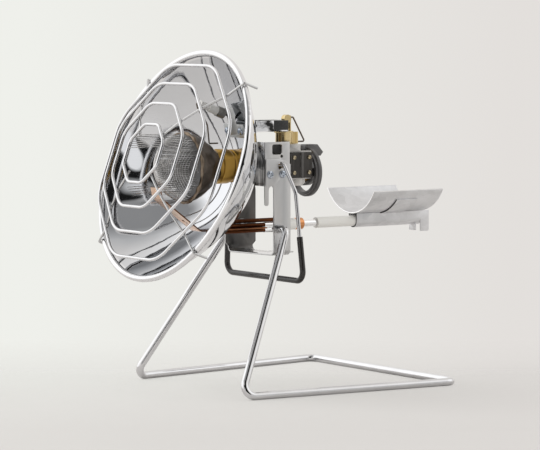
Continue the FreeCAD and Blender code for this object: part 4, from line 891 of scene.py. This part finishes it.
def panel(below, azimuth, elevation, half_width, half_height, edge, tone):
    """An oval part of the room with a soft edge, which covers the tone below."""
    turn, rise = math.radians(azimuth), math.radians(elevation)
    middle = Vector((math.cos(turn) * math.cos(rise), math.sin(turn) * math.cos(rise), math.sin(rise)))
    across = Vector((-math.sin(turn), math.cos(turn), 0))
    offset = sky.nodes.new("ShaderNodeCombineXYZ")
    sky.links.new(lean(across, math.sin(math.radians(half_width))), offset.inputs["X"])
    sky.links.new(lean(middle.cross(across), math.sin(math.radians(half_height))), offset.inputs["Y"])
    size = vector_step(sky, "LENGTH", offset.outputs["Vector"])["Value"]
    inside = spread(sky, size, 1.0, 0.0, (1 - edge, 1 + edge))
    facing = spread(sky, lean(middle), 0.0, 1.0, FACING_BAND)
    cover = covered(sky, value_step(sky, "MULTIPLY", inside, facing), below)
    cover.inputs["B"].default_value = (tone, tone, tone, 1)
    return cover.outputs["Result"]


wall_paint = sky.nodes.new("ShaderNodeRGB")
wall_paint.outputs["Color"].default_value = BACKDROP
mirrored = wall_paint.outputs["Color"]
for shape in ROOM_PANELS.values():
    mirrored = panel(mirrored, *shape)

rays = sky.nodes.new("ShaderNodeLightPath")
in_view, in_gloss = rays.outputs["Is Camera Ray"], rays.outputs["Is Glossy Ray"]
to_grey_side = spread(sky, lean(VIEW_RIGHT), 0.0, 1.0, SIDE_BAND)
wall_tone = covered(sky, in_gloss, tones(sky, to_grey_side, PALE_SIDE, GREY_SIDE, (0.0, 1.0)))
sky.links.new(mirrored, wall_tone.inputs["B"])
backdrop = sky.nodes["Background"]
sky.links.new(wall_tone.outputs["Result"], backdrop.inputs["Color"])
room = sky.nodes.new("ShaderNodeBackground")
room.inputs["Color"].default_value = ROOM_LIGHT
room.inputs["Strength"].default_value = ROOM_STRENGTH
in_view_or_gloss = value_step(sky, "MAXIMUM", in_view, in_gloss)
backdrop_seen = value_step(sky, "MAXIMUM", in_view_or_gloss, rays.outputs["Is Transmission Ray"])
shown(sky, backdrop_seen, room.outputs["Background"], backdrop.outputs["Background"], "World Output")


# Lamps and the photograph's camera, in metres

LAMP_AIM = Vector((0, 0, 0.2))
SENSOR, PICTURE_WIDTH, FOCAL_PIXELS = 36, 540, 2828.74
CAMERA_PLACE, CAMERA_REACH = (2.503, -1.778, 0.398), 50


def soft_light(name, place, size, power):
    data = bpy.data.lights.new(name, "AREA")
    data.shape = "RECTANGLE"
    data.size, data.size_y = size
    data.energy = power
    lamp = bpy.data.objects.new(name, data)
    bpy.context.scene.collection.objects.link(lamp)
    lamp.visible_glossy = False
    lamp.location = place
    lamp.rotation_euler = (Vector(place) - LAMP_AIM).to_track_quat("Z", "Y").to_euler()


soft_light("key_light", (-0.9, -1.6, 1.9), size=(1.4, 1.4), power=22)
soft_light("side_light", (1.4, 1.2, 1.2), size=(0.9, 1.2), power=8)

camera_data = bpy.data.cameras.new("camera")
camera_data.sensor_width = SENSOR
camera_data.lens = SENSOR * FOCAL_PIXELS / PICTURE_WIDTH
camera_data.clip_end = CAMERA_REACH
camera = bpy.data.objects.new("camera", camera_data)
bpy.context.scene.collection.objects.link(camera)
view_turn = Matrix((VIEW_RIGHT, VIEW_BACK.cross(VIEW_RIGHT), VIEW_BACK)).transposed()
camera.matrix_world = Matrix.Translation(CAMERA_PLACE) @ view_turn.to_4x4()
bpy.context.scene.camera = camera

bpy.context.scene.view_settings.view_transform = "Standard"
bpy.context.view_layer.update()
